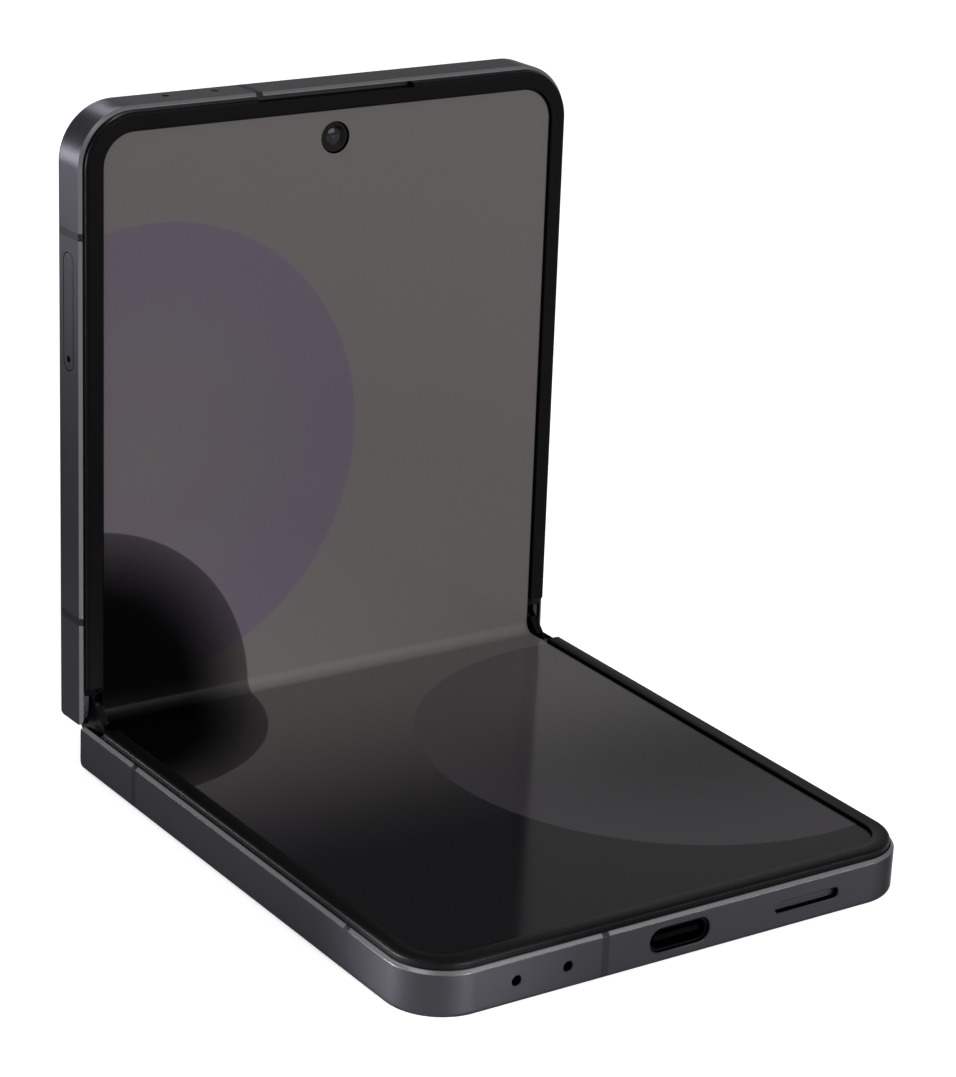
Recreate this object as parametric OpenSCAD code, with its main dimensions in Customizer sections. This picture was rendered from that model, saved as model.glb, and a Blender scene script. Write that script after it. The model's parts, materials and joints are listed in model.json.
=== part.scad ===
// Foldable clamshell smartphone, opened to a right angle like a small laptop.
// Row frame: +Z up, the lower half lies flat and points to -Y, the upper half stands
// at the back, X runs across the width. Every half is drawn flat in its own "half frame":
// y = distance from the fold's middle plane, z = height above the back face.

/* [Overall size] */
// Width of the phone across both halves
phone_w = 74; // [70:0.5:90]
// Length of one half, from the fold's middle plane to its end
half_len = 82.25; // [76:0.25:100]
// Height of the metal frame, back face to the rim beside the bezel
frame_h = 5.95; // [5.8:0.05:7.2]
// Outside corner radius of a half
corner_r = 7.5; // [5:0.5:12]
// Angle between the two halves of the display as posed
open_angle = 91; // [60:1:179]

/* [Frame] */
// Thickness of the frame's wall
wall_t = 2; // [1.6:0.1:3]
// Bright bevel along the frame's display side
bevel = 0.4; // [0.2:0.05:0.7]
// Rounding of the frame's back edge
back_round = 0.6; // [0.3:0.1:1.2]
// Thickness of the deck that carries the display
deck_t = 0.6; // [0.4:0.05:1]
// Depth of the bezel's seat below the rim
bezel_seat = 0.35; // [0.2:0.05:0.6]
// Width of an antenna break
break_w = 1; // [0.6:0.1:1.6]
// Depth of an antenna break in the wall
break_depth = 0.7; // [0.4:0.1:1]

/* [Display and bezel] */
// Visible black border, from the frame's side to the lit area
border_w = 3.15; // [2.4:0.05:5]
// Where the bezel ends beside the fold, from the fold's middle plane
bezel_start = 5.4; // [5:0.1:7]
// Bezel set back from the frame's side
bezel_inset = 0.6; // [0.4:0.05:1]
// Black line on the display between the bezel and the lit picture
dark_line = 0.3; // [0.1:0.05:0.6]
// Bezel height above the display
bezel_rise = 0.4; // [0.2:0.05:0.8]
// Display panel thickness
panel_t = 0.7; // [0.5:0.05:1.2]
// Metal plate under each rigid part of the display
plate_t = 0.2; // [0.1:0.05:0.3]
// Length of display on each side of the fold that is free to bend
fold_half = 7; // [6.8:0.1:9]
// Thickness of the bending part of the display
fold_t = 0.35; // [0.25:0.05:0.5]
// Front camera hole in the display
punch_d = 4.2; // [3:0.1:6]
// Front camera centre, from the end of the half
punch_from_end = 6.75; // [6:0.05:10]

/* [Hinge] */
// Half the distance between the two hinge axes
axis_half = 2.2; // [2:0.05:3]
// Depth of the hinge axes below the display surface
axis_drop = 1.58; // [1.4:0.02:2]
// Outside radius of the hinge spine about each axis
spine_r = 3.9; // [3.5:0.05:4.1]
// Wall of the hinge spine
spine_wall = 0.6; // [0.4:0.05:0.8]
// Play between the spine and the frames that roll round it
spine_gap = 0.2; // [0.15:0.05:0.3]
// Gap between the two frames when the phone is flat
meet_gap = 0.2; // [0.1:0.05:0.5]
// Radius of the hinge pins
pin_r = 0.5; // [0.4:0.05:0.6]
// Radial running clearance of every turning fit
run_gap = 0.05; // [0.02:0.01:0.1]
// Gear module
gear_m = 0.2; // [0.2:0.01:0.22]
// Teeth a full arm gear would have
arm_teeth = 15; // [15:1:16]
// Teeth of an idler gear
idler_teeth = 8; // [8:1:8]

/* [Back covers] */
// Thickness of the back glass
glass_t = 0.6; // [0.4:0.05:0.8]
// Back glass set back from the frame's side
glass_inset = 1; // [0.8:0.1:1.4]
// Diameter of a camera ring
ring_d = 12.6; // [10:0.2:15]
// Height of a camera ring above the back glass
ring_rise = 1.1; // [0.5:0.1:1.6]
// First camera, from the end of the half
camera_from_end = 10.6; // [9:0.1:14]
// First camera, from the key side of the phone
camera_from_side = 10.6; // [9:0.1:14]
// Distance between the two cameras
camera_pitch = 15.6; // [14.5:0.1:18]

/* [Ports] */
// Width of the charging port's opening
usb_w = 8.94; // [8.94:0.01:9.2]
// Height of the charging port's opening
usb_h = 3.2; // [3.2:0.01:3.4]
// Height of the ports' centre line above the back face
port_z = 2.95; // [2.8:0.05:3.4]
// Speaker slot length
speaker_slot_l = 9.9; // [6:0.1:14]
// Speaker slot height
speaker_slot_h = 1.4; // [0.8:0.1:2]
// Speaker slot centre, from the middle of the phone
speaker_x = 19.4; // [17:0.1:21]
// Microphone hole diameter at the charging end
mic_d = 1.3; // [0.8:0.1:1.6]
// Microphone hole diameter at the top end
top_mic_d = 0.9; // [0.5:0.1:1.3]

/* [Keys and tray] */
// Side key length
side_key_l = 13; // [10:0.5:16]
// Side key centre, from the fold's middle plane
side_key_y = 32; // [28:0.5:36]
// Volume key length
volume_key_l = 20; // [16:0.5:22]
// Volume key centre, from the fold's middle plane
volume_key_y = 53; // [50:0.5:56]
// Height of both keys, seen from the side
key_h = 2; // [1.6:0.1:2.4]
// How far the keys stand out of the frame
key_rise = 0.3; // [0.2:0.05:0.5]
// Play round the keys and the tray in their slots
key_gap = 0.12; // [0.08:0.01:0.2]
// Card tray length along the side
tray_l = 15.4; // [15:0.1:16]
// Card tray centre, from the fold's middle plane
tray_y = 55.8; // [54:0.1:57]
// Card tray front height
tray_h = 2.5; // [2.2:0.1:2.8]
// Depth that the card tray reaches into the phone
tray_depth = 13; // [12:0.5:15]

/* [Insides] */
// Battery thickness
battery_t = 3.6; // [3:0.1:3.8]
// Circuit board thickness
board_t = 0.7; // [0.5:0.05:0.9]
// Gap between inner pieces and what they lie against
lay_gap = 0.1; // [0.05:0.05:0.3]
// Diameter of the screw heads
screw_head_d = 2; // [1.6:0.1:2.4]
// Diameter of the screw shanks
screw_d = 1; // [0.8:0.1:1.2]

/* [Hidden] */
$fn = 48;

// colours
metal_grey = "#46464c";
break_grey = "#36363a";
trim_black = "#17171a";
glass_grey = "#3a3a40";
screen_grey = "#55504f";
steel = "#9a9ca0";
board_green = "#1f3a2c";
copper = "#b06a3a";
cell_black = "#26262a";

// heights inside a half
deck_top = frame_h - bezel_seat;
deck_low = deck_top - deck_t;
panel_low = deck_top + plate_t;
display_z = panel_low + panel_t;
bezel_top = display_z + bezel_rise;
axis_z = display_z - axis_drop;
inside_low = glass_t + lay_gap;
inside_high = deck_low - lay_gap;

// lengths inside a half
frame_start = meet_gap / 2;
bay_end = axis_half + spine_r + spine_gap + 0.3;
bar_t = 1;
bar_end = bay_end + bar_t;
side_x = phone_w / 2;
inner_x = side_x - wall_t;
inner_end = half_len - wall_t;
// the display seen inside the bezel: the lit picture and the black line round it
rim_w = border_w - dark_line;
// edge of the rigid display panel and of its plate, under the bezel
panel_inset = border_w - 0.9;
plate_inset = panel_inset + 0.3;
bezel_foot = 1.3;
slip = 0.05;

// the fold: axis positions and the turn of each half from flat
half_turn = (180 - open_angle) / 2;
low_axis = [-axis_half, axis_z];
up_axis = low_axis + 2 * axis_half * [cos(half_turn), sin(half_turn)];

// cameras on the back of the upper half
camera_y = half_len - camera_from_end;
camera_x = side_x - camera_from_side;
flash_x = camera_x - 1.72 * camera_pitch;

// the row origin lies under the middle of the whole object's box
function upper_back_y(y, z) =
    up_axis[0] + cos(2 * half_turn) * (y - axis_half) - sin(2 * half_turn) * (z - axis_z);
back_most = max(upper_back_y(camera_y + ring_d / 2, -ring_rise),
    upper_back_y(half_len - back_round, 0), upper_back_y(half_len, back_round));
origin_shift = (half_len - back_most) / 2;

// placing: half frame and spine frame into the row frame
module as_lower() { translate([0, origin_shift, 0]) mirror([0, 1, 0]) children(); }
module as_spine() {
    translate([0, origin_shift + low_axis[0], low_axis[1]])
        rotate([half_turn, 0, 0]) translate([0, axis_half, 0]) children();
}
module as_upper() {
    translate([0, origin_shift + up_axis[0], up_axis[1]])
        rotate([2 * half_turn, 0, 0]) translate([0, -axis_half, -axis_z]) children();
}

// ---- hinge sizes (spine frame: y from the middle plane, z from the axes) ----
cap_plate = 0.25;
side_play = 0.08;
cap_play = 0.3;
gear_w = 0.75;
gear_out = inner_x - 0.03;
gear_in = gear_out - gear_w;
cap_out = gear_out + side_play + cap_plate;
bay_wall_t = side_x - cap_out - cap_play;
bracket_out = gear_in - side_play;
spine_end = cap_out - cap_plate;
bracket_l = 9;
bracket_in = bracket_out - bracket_l;
shell_edge_angle = 25;
arm_pitch_r = gear_m * arm_teeth / 2;
idler_pitch_r = gear_m * idler_teeth / 2;
idler_y = idler_pitch_r;
idler_z = -sqrt(pow(arm_pitch_r + idler_pitch_r, 2) - pow(axis_half - idler_y, 2));
idler_shaft_r = 0.25;
arm_hub_r = 1.05;
cap_r = 1.8;
tooth_out = 0.8 * gear_m;
tooth_in = 1.05 * gear_m;
tooth_play = 0.06;
press_gap = 0.02;
arm_pitch_angle = 360 / arm_teeth;
idler_pitch_angle = 360 / idler_teeth;
gear_ratio = arm_teeth / idler_teeth;
// direction from the upper axis to its idler
contact = atan2(idler_z, idler_y - axis_half);
arm_root_r = arm_pitch_r - tooth_in;
arm_neck_low = axis_z - 0.75;
arm_tail_z = deck_low - 1.1;
arm_tail_end = bar_end + 5;
arm_in = inner_x - 6;
arm_screw_x = [arm_in + 1.2, arm_in + 3.6];
arm_screw_y = bar_end + 3.2;

// flex cables: they pass through the bar above the spine shell's edge
flex_w = 10;
flex_x = [-14, 14];
flex_t = 0.15;
flex_tail = 4;
flex_play = 0.5;
flex_z = axis_z - spine_r * sin(shell_edge_angle) + flex_play + 0.15;

// ---- shared shapes -------------------------------------------------------

// box between two opposite corners
module span(a, b) { translate(a) cube(b - a); }

// a polygon drawn as [y, z], drawn out along x between two values
module along_x(x0, x1) {
    translate([x0, 0, 0]) rotate([90, 0, 90]) linear_extrude(x1 - x0) children();
}

// flat outline with a square end at y0 and two round corners at y1
module tongue2d(half_w, y0, y1, r) {
    translate([-half_w, y0]) square([2 * half_w, y1 - r - y0]);
    translate([-half_w + r, y0]) square([2 * (half_w - r), y1 - y0]);
    for (s = [-1, 1]) translate([s * (half_w - r), y1 - r]) circle(r);
}

// flat rectangle with four round corners, centred
module round_rect2d(w, l, r) {
    square([w - 2 * r, l], center = true);
    square([w, l - 2 * r], center = true);
    for (sx = [-1, 1], sy = [-1, 1]) translate([sx * (w / 2 - r), sy * (l / 2 - r)]) circle(r);
}

// flat slot with round ends, centred, length along x
module pill2d(l, h) {
    square([l - h, h], center = true);
    for (s = [-1, 1]) translate([s * (l - h) / 2, 0]) circle(h / 2);
}

// slot through an end wall: outline seen from the end, drawn out along y
module end_slot(x, z, y0, y1, l, h) {
    translate([x, y1, z]) rotate([90, 0, 0]) linear_extrude(y1 - y0) pill2d(l, h);
}

// slot through a side wall, from x0 to x1, length along y
module side_slot(x0, x1, y, z, l, h) {
    translate([x0, y, z]) rotate([90, 0, 90]) linear_extrude(x1 - x0) pill2d(l, h);
}

// one half's outer block: profile points run up its edge as [inwards, height]
module edge_block(half_w, y0, y1, r, edge, h) {
    outline = concat([[0, 0]], [for (p = edge) [r - p[0], p[1]]], [[0, h]]);
    right = [for (p = edge) [half_w - p[0], p[1]]];
    left = [for (i = [len(edge) - 1:-1:0]) [edge[i][0] - half_w, edge[i][1]]];
    end_bar = concat([[y1 - r - 0.01, 0]], [for (p = edge) [y1 - p[0], p[1]]],
        [[y1 - r - 0.01, h]]);
    translate([0, y1 - r, 0]) rotate([90, 0, 0]) linear_extrude(y1 - r - y0)
        polygon(concat(right, left));
    along_x(-half_w + r, half_w - r) polygon(end_bar);
    for (s = [-1, 1]) translate([s * (half_w - r), y1 - r, 0])
        rotate_extrude() polygon(outline);
}

round_steps = 4;
frame_edge = concat(
    [for (i = [0:round_steps]) let (t = 90 * i / round_steps)
        [back_round * (1 - sin(t)), back_round * (1 - cos(t))]],
    [[0, frame_h - bevel], [bevel, frame_h]]);

// room that the spine needs: two discs about the axes, joined by a flat
module spine_outline2d(r, top) {
    intersection() {
        union() {
            for (s = [-1, 1]) translate([s * axis_half, 0]) circle(r, $fn = 96);
            translate([-axis_half, -r]) square([2 * axis_half, 2 * r]);
        }
        translate([-20, -20]) square([40, 20 + top]);
    }
}

// rounding of the frame's edges beside the fold, at the display and at the back
end_round = 0.7;
back_end_round = 1.3;
module corner_waste2d(r) {
    difference() {
        translate([-1, -1]) square([1 + r, 1 + r]);
        translate([r, r]) circle(r);
    }
}
module end_roundings() {
    along_x(-side_x - 1, side_x + 1) translate([frame_start, 0]) corner_waste2d(back_end_round);
    along_x(-side_x - 1, side_x + 1) translate([frame_start, frame_h]) mirror([0, 1, 0])
        corner_waste2d(end_round);
}

break_from_fold = [14.6, half_len - 16.15];
end_break_x = -11.1;
module break_slabs(grow) {
    for (y = break_from_fold) for (s = [-1, 1])
        span([s > 0 ? side_x - break_depth : -side_x - 1, y - break_w / 2 - grow, -1],
            [s > 0 ? side_x + 1 : -side_x + break_depth, y + break_w / 2 + grow, frame_h + 1]);
    span([end_break_x - break_w / 2 - grow, half_len - break_depth, -1],
        [end_break_x + break_w / 2 + grow, half_len + 1, frame_h + 1]);
}

module half_outer() {
    edge_block(side_x, frame_start, half_len, corner_r, frame_edge, frame_h);
}

// metal frame of one half without its own ports
module half_frame() {
    difference() {
        half_outer();
        // bezel seat and display recess, down to the deck
        bezel_room();
        // room for the battery and boards, under the deck
        translate([0, 0, glass_t]) linear_extrude(deck_low - glass_t)
            tongue2d(inner_x, bar_end, inner_end, corner_r - wall_t);
        // back glass seat
        translate([0, 0, -1]) linear_extrude(1 + glass_t)
            tongue2d(side_x - glass_inset, bar_end, half_len - glass_inset, corner_r - glass_inset);
        // hinge bay: the lip below it rolls round the spine
        along_x(-side_x + bay_wall_t, side_x - bay_wall_t) difference() {
            translate([-1, 0]) square([1 + bay_end, frame_h + 1]);
            difference() {
                square([bay_end + 1, axis_z]);
                translate([axis_half, axis_z]) circle(spine_r + spine_gap, $fn = 96);
                translate([-1, axis_z - spine_r - spine_gap])
                    square([1 + axis_half, spine_r + spine_gap]);
                translate([axis_half, axis_z - 1]) square([bay_end - axis_half, 2]);
            }
        }
        // cable passage through the bar behind the bay
        for (x = flex_x) span([x - flex_w / 2 - flex_play, axis_half, flex_z - flex_play],
            [x + flex_w / 2 + flex_play, bar_end + flex_play, flex_z + flex_t + flex_play]);
        // way for the hinge arms' necks
        for (s = [-1, 1]) translate([s * (gear_in + gear_w / 2), 0, 0])
            span([-gear_w / 2 - 0.1, bay_end - 0.5, arm_neck_low - 0.1],
                [gear_w / 2 + 0.1, bar_end + 0.6, deck_low]);
        end_roundings();
        break_slabs(0);
    }
}

module bezel_room() {
    translate([0, 0, deck_top]) linear_extrude(frame_h)
        tongue2d(side_x - bezel_inset, -1, half_len - bezel_inset, corner_r - bezel_inset);
}
module half_breaks() {
    difference() {
        intersection() {
            half_outer();
            break_slabs(-0.01);
        }
        bezel_room();
    }
}
// room inside a half that the frame's walls leave
module inner_room() {
    linear_extrude(frame_h) tongue2d(inner_x - lay_gap, bar_end + lay_gap, inner_end - lay_gap,
        corner_r - wall_t - lay_gap);
}

// bezel: an edge-rounded ring open towards the fold, foot on the frame, lip over the panel,
// and a low sloping toe at each end that covers the hinge arm
bezel_round = 0.45;
toe_reach = axis_half + 1.9;
toe_low = deck_top + slip;
bezel_edge = concat([[0, 0]],
    [for (i = [0:round_steps]) let (t = 90 * i / round_steps)
        [bezel_round * (1 - cos(t)), bezel_top - deck_top - bezel_round * (1 - sin(t))]]);
module bezel_toes() {
    for (s = [-1, 1])
        along_x(min(s * (side_x - rim_w + slip), s * (side_x - bezel_inset)),
            max(s * (side_x - rim_w + slip), s * (side_x - bezel_inset)))
        polygon([[toe_reach, toe_low], [toe_reach, toe_low + 0.15], [bezel_start, display_z],
            [bezel_start + 0.1, display_z], [bezel_start + 0.1, toe_low]]);
}
module half_bezel() {
    lip_z = display_z + slip - deck_top;
    bezel_toes();
    translate([0, 0, deck_top]) difference() {
        edge_block(side_x - bezel_inset, bezel_start, half_len - bezel_inset,
            corner_r - bezel_inset, bezel_edge, bezel_top - deck_top);
        translate([0, 0, -1]) linear_extrude(20)
            tongue2d(side_x - rim_w, -1, half_len - rim_w, corner_r - rim_w);
        translate([0, 0, -1]) linear_extrude(1 + lip_z)
            tongue2d(side_x - bezel_inset - bezel_foot, -1,
                half_len - bezel_inset - bezel_foot, corner_r - bezel_inset - bezel_foot);
    }
}

module half_panel() {
    difference() {
        translate([0, 0, panel_low]) linear_extrude(panel_t)
            tongue2d(side_x - panel_inset, fold_half, half_len - panel_inset,
                corner_r - panel_inset);
        children();
    }
}

module half_plate() {
    difference() {
        translate([0, 0, deck_top]) linear_extrude(plate_t)
            tongue2d(side_x - plate_inset, bay_end + 0.2, half_len - plate_inset,
                corner_r - plate_inset);
        children();
    }
}

module back_glass(h) {
    linear_extrude(h) tongue2d(side_x - glass_inset - slip, bar_end + slip,
        half_len - glass_inset - slip, corner_r - glass_inset - slip);
}

// screw with its head below a plate, pointing up
module screw(x, y, head_z, shank_l) {
    translate([x, y, head_z]) {
        cylinder(d = screw_head_d, h = 0.5);
        translate([0, 0, 0.5]) cylinder(d = screw_d, h = shank_l);
    }
}
module screw_hole(x, y, z0, z1) {
    translate([x, y, z0]) cylinder(d = screw_d + 2 * slip, h = z1 - z0);
}

// ---- hinge gears and arms ----------------------------------------------------

// gear outline: tapered teeth, the first tooth's middle at angle phase,
// only teeth whose middle lies between a0 and a1 are drawn
module gear2d(teeth, phase, a0, a1) {
    pitch_r = gear_m * teeth / 2;
    pitch_angle = 360 / teeth;
    half_tooth = PI * gear_m / 4 - tooth_play / 2;
    lean = tan(20);
    for (i = [-teeth:teeth]) let (a = phase + i * pitch_angle)
        if (a >= a0 && a <= a1) rotate(a) polygon([
            [pitch_r - tooth_in - 0.15, -half_tooth - tooth_in * lean],
            [pitch_r + tooth_out, -half_tooth + tooth_out * lean],
            [pitch_r + tooth_out, half_tooth - tooth_out * lean],
            [pitch_r - tooth_in - 0.15, half_tooth + tooth_in * lean]]);
}

// pie slice of a circle between two angles
module slice2d(r, a0, a1) {
    steps = 8;
    intersection() {
        circle(r);
        polygon(concat([[0, 0]], [for (i = [0:steps]) let (a = a0 + (a1 - a0) * i / steps)
            2 * r * [cos(a), sin(a)]]));
    }
}

// hinge arm at +x in the half frame: hub and toothed slice on the axis, neck, tail plate.
// The slice's teeth reach the idler all the way from flat to closed.
module arm_right(phase) {
    difference() {
        union() {
            along_x(gear_in, gear_out) translate([axis_half, axis_z]) {
                circle(arm_hub_r);
                slice2d(arm_root_r, contact - 104, contact + 20);
                gear2d(arm_teeth, contact + phase, contact - 98, contact + 14);
            }
            span([gear_in, axis_half, arm_neck_low], [gear_out, bar_end + 0.5, axis_z + 0.05]);
            span([arm_in, bar_end + lay_gap, arm_tail_z], [gear_out, arm_tail_end, deck_low]);
        }
        translate([gear_in - 1, axis_half, axis_z]) rotate([0, 90, 0])
            cylinder(r = pin_r + run_gap, h = gear_w + 2);
        for (x = arm_screw_x) screw_hole(x, arm_screw_y, arm_tail_z - 1, deck_low + 1);
    }
}
module arms(phase) { arm_right(phase); mirror([1, 0, 0]) arm_right(phase); }

// ---- lower half ----------------------------------------------------------

usb_depth = 7.4;
usb_wall = 0.3;
usb_recess = 0.5;
motor_x = inner_x - 9.3;

module lower_frame() {
    color(metal_grey) as_lower() difference() {
        half_frame();
        end_slot(0, port_z, inner_end - 1, half_len + 1, usb_w, usb_h);
        end_slot(speaker_x, port_z, inner_end - 1, half_len + 1, speaker_slot_l, speaker_slot_h);
        for (x = bottom_mic_x) translate([x, inner_end - 1, port_z]) rotate([-90, 0, 0])
            cylinder(d = mic_d, h = wall_t + 2);
        for (s = [-1, 1]) for (x = arm_screw_x)
            screw_hole(s * x, arm_screw_y, deck_low - 1, deck_top + 1);
    }
}
bottom_mic_x = [13.3 - side_x, 20.6 - side_x];

module lower_antenna_breaks() { color(break_grey) as_lower() half_breaks(); }
module lower_bezel() { color(trim_black) as_lower() half_bezel(); }
module lower_back_cover() { color(glass_grey) as_lower() back_glass(glass_t); }
module display_lower() { color(screen_grey) as_lower() half_panel(); }
module lower_display_plate() { color(steel) as_lower() half_plate(); }

lower_cell_y = [bar_end + 6.5, inner_end - 15];
module lower_battery() {
    color(cell_black) as_lower() translate([0, 0, inside_high - battery_t])
        linear_extrude(battery_t) translate([-4, (lower_cell_y[0] + lower_cell_y[1]) / 2])
            round_rect2d(2 * inner_x - 13, lower_cell_y[1] - lower_cell_y[0], 1);
}

coil_t = 0.3;
coil_r = 17;
module charging_coil() {
    color(copper) as_lower() translate([-4, (lower_cell_y[0] + lower_cell_y[1]) / 2, glass_t])
        difference() {
            cylinder(r = coil_r, h = coil_t);
            translate([0, 0, -1]) cylinder(r = coil_r - 7, h = 3);
        }
}

sub_y = [inner_end - 13, inner_end - 1.2];
speaker_box_x = [speaker_x - 10.8, inner_x - 0.6];
sub_z = port_z - board_t / 2;
module sub_board() {
    color(board_green) as_lower() difference() {
        intersection() {
            span([-side_x, sub_y[0], sub_z],
                [speaker_box_x[0] - 0.4, sub_y[1], sub_z + board_t]);
            inner_room();
        }
        span([-usb_w / 2 - 0.15, half_len - usb_depth - 0.3, 0], [usb_w / 2 + 0.15, half_len, 9]);
    }
}

module usb_c_shell() {
    color(steel) as_lower() difference() {
        end_slot(0, port_z, half_len - usb_depth, half_len - usb_recess,
            usb_w - 2 * slip, usb_h - 2 * slip);
        end_slot(0, port_z, half_len - usb_depth + 0.5, half_len + 1,
            usb_w - 2 * slip - 2 * usb_wall, usb_h - 2 * slip - 2 * usb_wall);
    }
}
tongue_l = 4.6;
module usb_c_tongue() {
    color(trim_black) as_lower() {
        y0 = half_len - usb_depth + 0.5;
        span([-3.35, y0, port_z - 0.35], [3.35, y0 + 1.4 + tongue_l, port_z + 0.35]);
        end_slot(0, port_z, y0, y0 + 1.2, usb_w - 2 * slip - 2 * usb_wall - 0.1,
            usb_h - 2 * slip - 2 * usb_wall - 0.1);
    }
}
// rubber seal round the charging port, behind the wall
module usb_c_seal() {
    color(trim_black) as_lower() difference() {
        end_slot(0, port_z, inner_end - 0.9, inner_end - slip, usb_w + 1.3, usb_h + 1.1);
        end_slot(0, port_z, inner_end - 2, inner_end + 1, usb_w, usb_h);
        span([-8, inner_end - 2, inside_high], [8, inner_end + 1, 9]);
    }
}

module loudspeaker() {
    color(cell_black) as_lower() difference() {
        intersection() {
            span([speaker_box_x[0], sub_y[0] + 0.5, inside_low + 0.2],
                [speaker_box_x[1], inner_end, inside_high]);
            inner_room();
        }
        end_slot(speaker_x, port_z, inner_end - 3, half_len, speaker_slot_l - 1, speaker_slot_h);
    }
}
module speaker_mesh() {
    color(trim_black) as_lower() end_slot(speaker_x, port_z, half_len - 1.3, half_len - 0.9,
        speaker_slot_l - 2 * slip, speaker_slot_h - 2 * slip);
}
module bottom_microphones() {
    color(steel) as_lower() for (x = bottom_mic_x)
        span([x - 1.5, sub_y[1] - 3.2, sub_z + board_t], [x + 1.5, sub_y[1] - 0.2, port_z + 1.4]);
}
module vibration_motor() {
    color(steel) as_lower() translate([0, 0, inside_high - 3.2]) linear_extrude(3.2)
        translate([motor_x + 4.6, lower_cell_y[1] - 9]) round_rect2d(7.6, 17, 1);
}
module half_screws() {
    for (s = [-1, 1]) for (x = arm_screw_x)
        screw(s * x, arm_screw_y, arm_tail_z - 0.5 - slip, deck_top - arm_tail_z);
}
module lower_screws() { color(steel) as_lower() half_screws(); }
magnet_y = [24, 38];
magnet_x = inner_x - 1.7;
module half_magnets(x) {
    for (s = x) span([min(s * magnet_x, s * (inner_x - lay_gap)), magnet_y[0], inside_high - 2.4],
        [max(s * magnet_x, s * (inner_x - lay_gap)), magnet_y[1], inside_high]);
}
module lower_magnets() { color(steel) as_lower() half_magnets([-1, 1]); }
// the lower arms stand half a tooth on, so that the two idlers mesh with each other
module lower_hinge_arms() { color(steel) as_lower() arms(arm_pitch_angle / 2); }

// ---- hinge spine -----------------------------------------------------------

shell_top = -spine_r * sin(shell_edge_angle);
module hinge_spine() {
    color(metal_grey) as_spine() {
        difference() {
            along_x(-spine_end, spine_end) spine_outline2d(spine_r, shell_top);
            along_x(-spine_end - 1, spine_end + 1)
                spine_outline2d(spine_r - spine_wall, shell_top + 1);
        }
    }
}

// black end pieces of the fold: side plate, a roof between the arms and an end wall
module cap_right() {
    difference() {
        union() {
            along_x(cap_out - cap_plate, cap_out) spine_outline2d(cap_r, cap_r);
            along_x(cap_out - cap_plate, cap_out) spine_outline2d(spine_r, 0);
            span([gear_in, -1.35, 1.35], [cap_out - 0.01, 1.35, cap_r]);
        }
        for (s = [-1, 1]) translate([gear_in, s * axis_half, 0]) rotate([0, 90, 0])
            cylinder(r = pin_r + press_gap, h = 4);
        for (s = [-1, 1]) translate([gear_in, s * idler_y, idler_z]) rotate([0, 90, 0])
            cylinder(r = idler_shaft_r + press_gap, h = 4);
    }
}
module hinge_cap_right() { color(trim_black) as_spine() cap_right(); }
module hinge_cap_left() { color(trim_black) as_spine() mirror([1, 0, 0]) cap_right(); }

// bracket inside the spine's end: it carries the pins, shafts and springs
bracket_r = spine_r - spine_wall - slip;
valley_half = axis_half - 0.2;
valley_floor = 0.98;
valley_low = -1.45;
module bracket_right() {
    difference() {
        union() {
            along_x(bracket_out - 1.2, bracket_out) spine_outline2d(bracket_r - 0.35, 0.55);
            along_x(bracket_in, bracket_out) spine_outline2d(bracket_r, -1.9);
            along_x(bracket_in, bracket_in + 1.2) spine_outline2d(bracket_r, 0.55);
        }
        // valley for the folded display
        along_x(bracket_in - 1, cap_out)
            polygon([[-valley_half, 2], [-valley_floor, valley_low],
                [valley_floor, valley_low], [valley_half, 2]]);
        for (s = [-1, 1]) translate([bracket_in - 1, s * axis_half, 0]) rotate([0, 90, 0])
            cylinder(r = pin_r + press_gap, h = 20);
        for (s = [-1, 1]) translate([bracket_out - 3, s * idler_y, idler_z]) rotate([0, 90, 0])
            cylinder(r = idler_shaft_r + press_gap, h = 6);
    }
}
module hinge_brackets() {
    color(steel) as_spine() { bracket_right(); mirror([1, 0, 0]) bracket_right(); }
}

module pins_right() {
    for (s = [-1, 1]) translate([bracket_in, s * axis_half, 0]) rotate([0, 90, 0])
        cylinder(r = pin_r, h = cap_out - 0.02 - bracket_in);
}
module hinge_pins() { color(steel) as_spine() { pins_right(); mirror([1, 0, 0]) pins_right(); } }

module idler_shafts_right() {
    for (s = [-1, 1]) translate([bracket_out - 2, s * idler_y, idler_z]) rotate([0, 90, 0])
        cylinder(r = idler_shaft_r, h = cap_out - 0.02 - bracket_out + 2);
}
module idler_shafts() {
    color(steel) as_spine() { idler_shafts_right(); mirror([1, 0, 0]) idler_shafts_right(); }
}

// stacks of disc springs that hold the fold at any angle
spring_discs = 6;
spring_ring = 0.3;
module springs_right() {
    x0 = bracket_in + 1.2 + slip;
    pitch = (bracket_out - 1.2 - slip - x0) / spring_discs;
    for (s = [-1, 1]) for (i = [0:spring_discs - 1])
        translate([x0 + i * pitch, s * axis_half, 0]) rotate([0, 90, 0]) difference() {
            cylinder(r = pin_r + spring_ring, h = pitch - 0.1);
            translate([0, 0, -1]) cylinder(r = pin_r + press_gap, h = pitch + 2);
        }
}
module friction_springs() {
    color(copper) as_spine() { springs_right(); mirror([1, 0, 0]) springs_right(); }
}

// an idler gear pair: the gears at the two ends of the fold turn together
module idlers(side, phase) {
    for (m = [0, 1]) mirror([m, 0, 0]) difference() {
        along_x(gear_in + 0.02, gear_out - 0.02) translate([side * idler_y, idler_z]) {
            circle(idler_pitch_r - tooth_in);
            gear2d(idler_teeth, phase, phase - 1, phase + 359);
        }
        translate([gear_in - 1, side * idler_y, idler_z]) rotate([0, 90, 0])
            cylinder(r = idler_shaft_r + run_gap, h = 4);
    }
}
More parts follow.
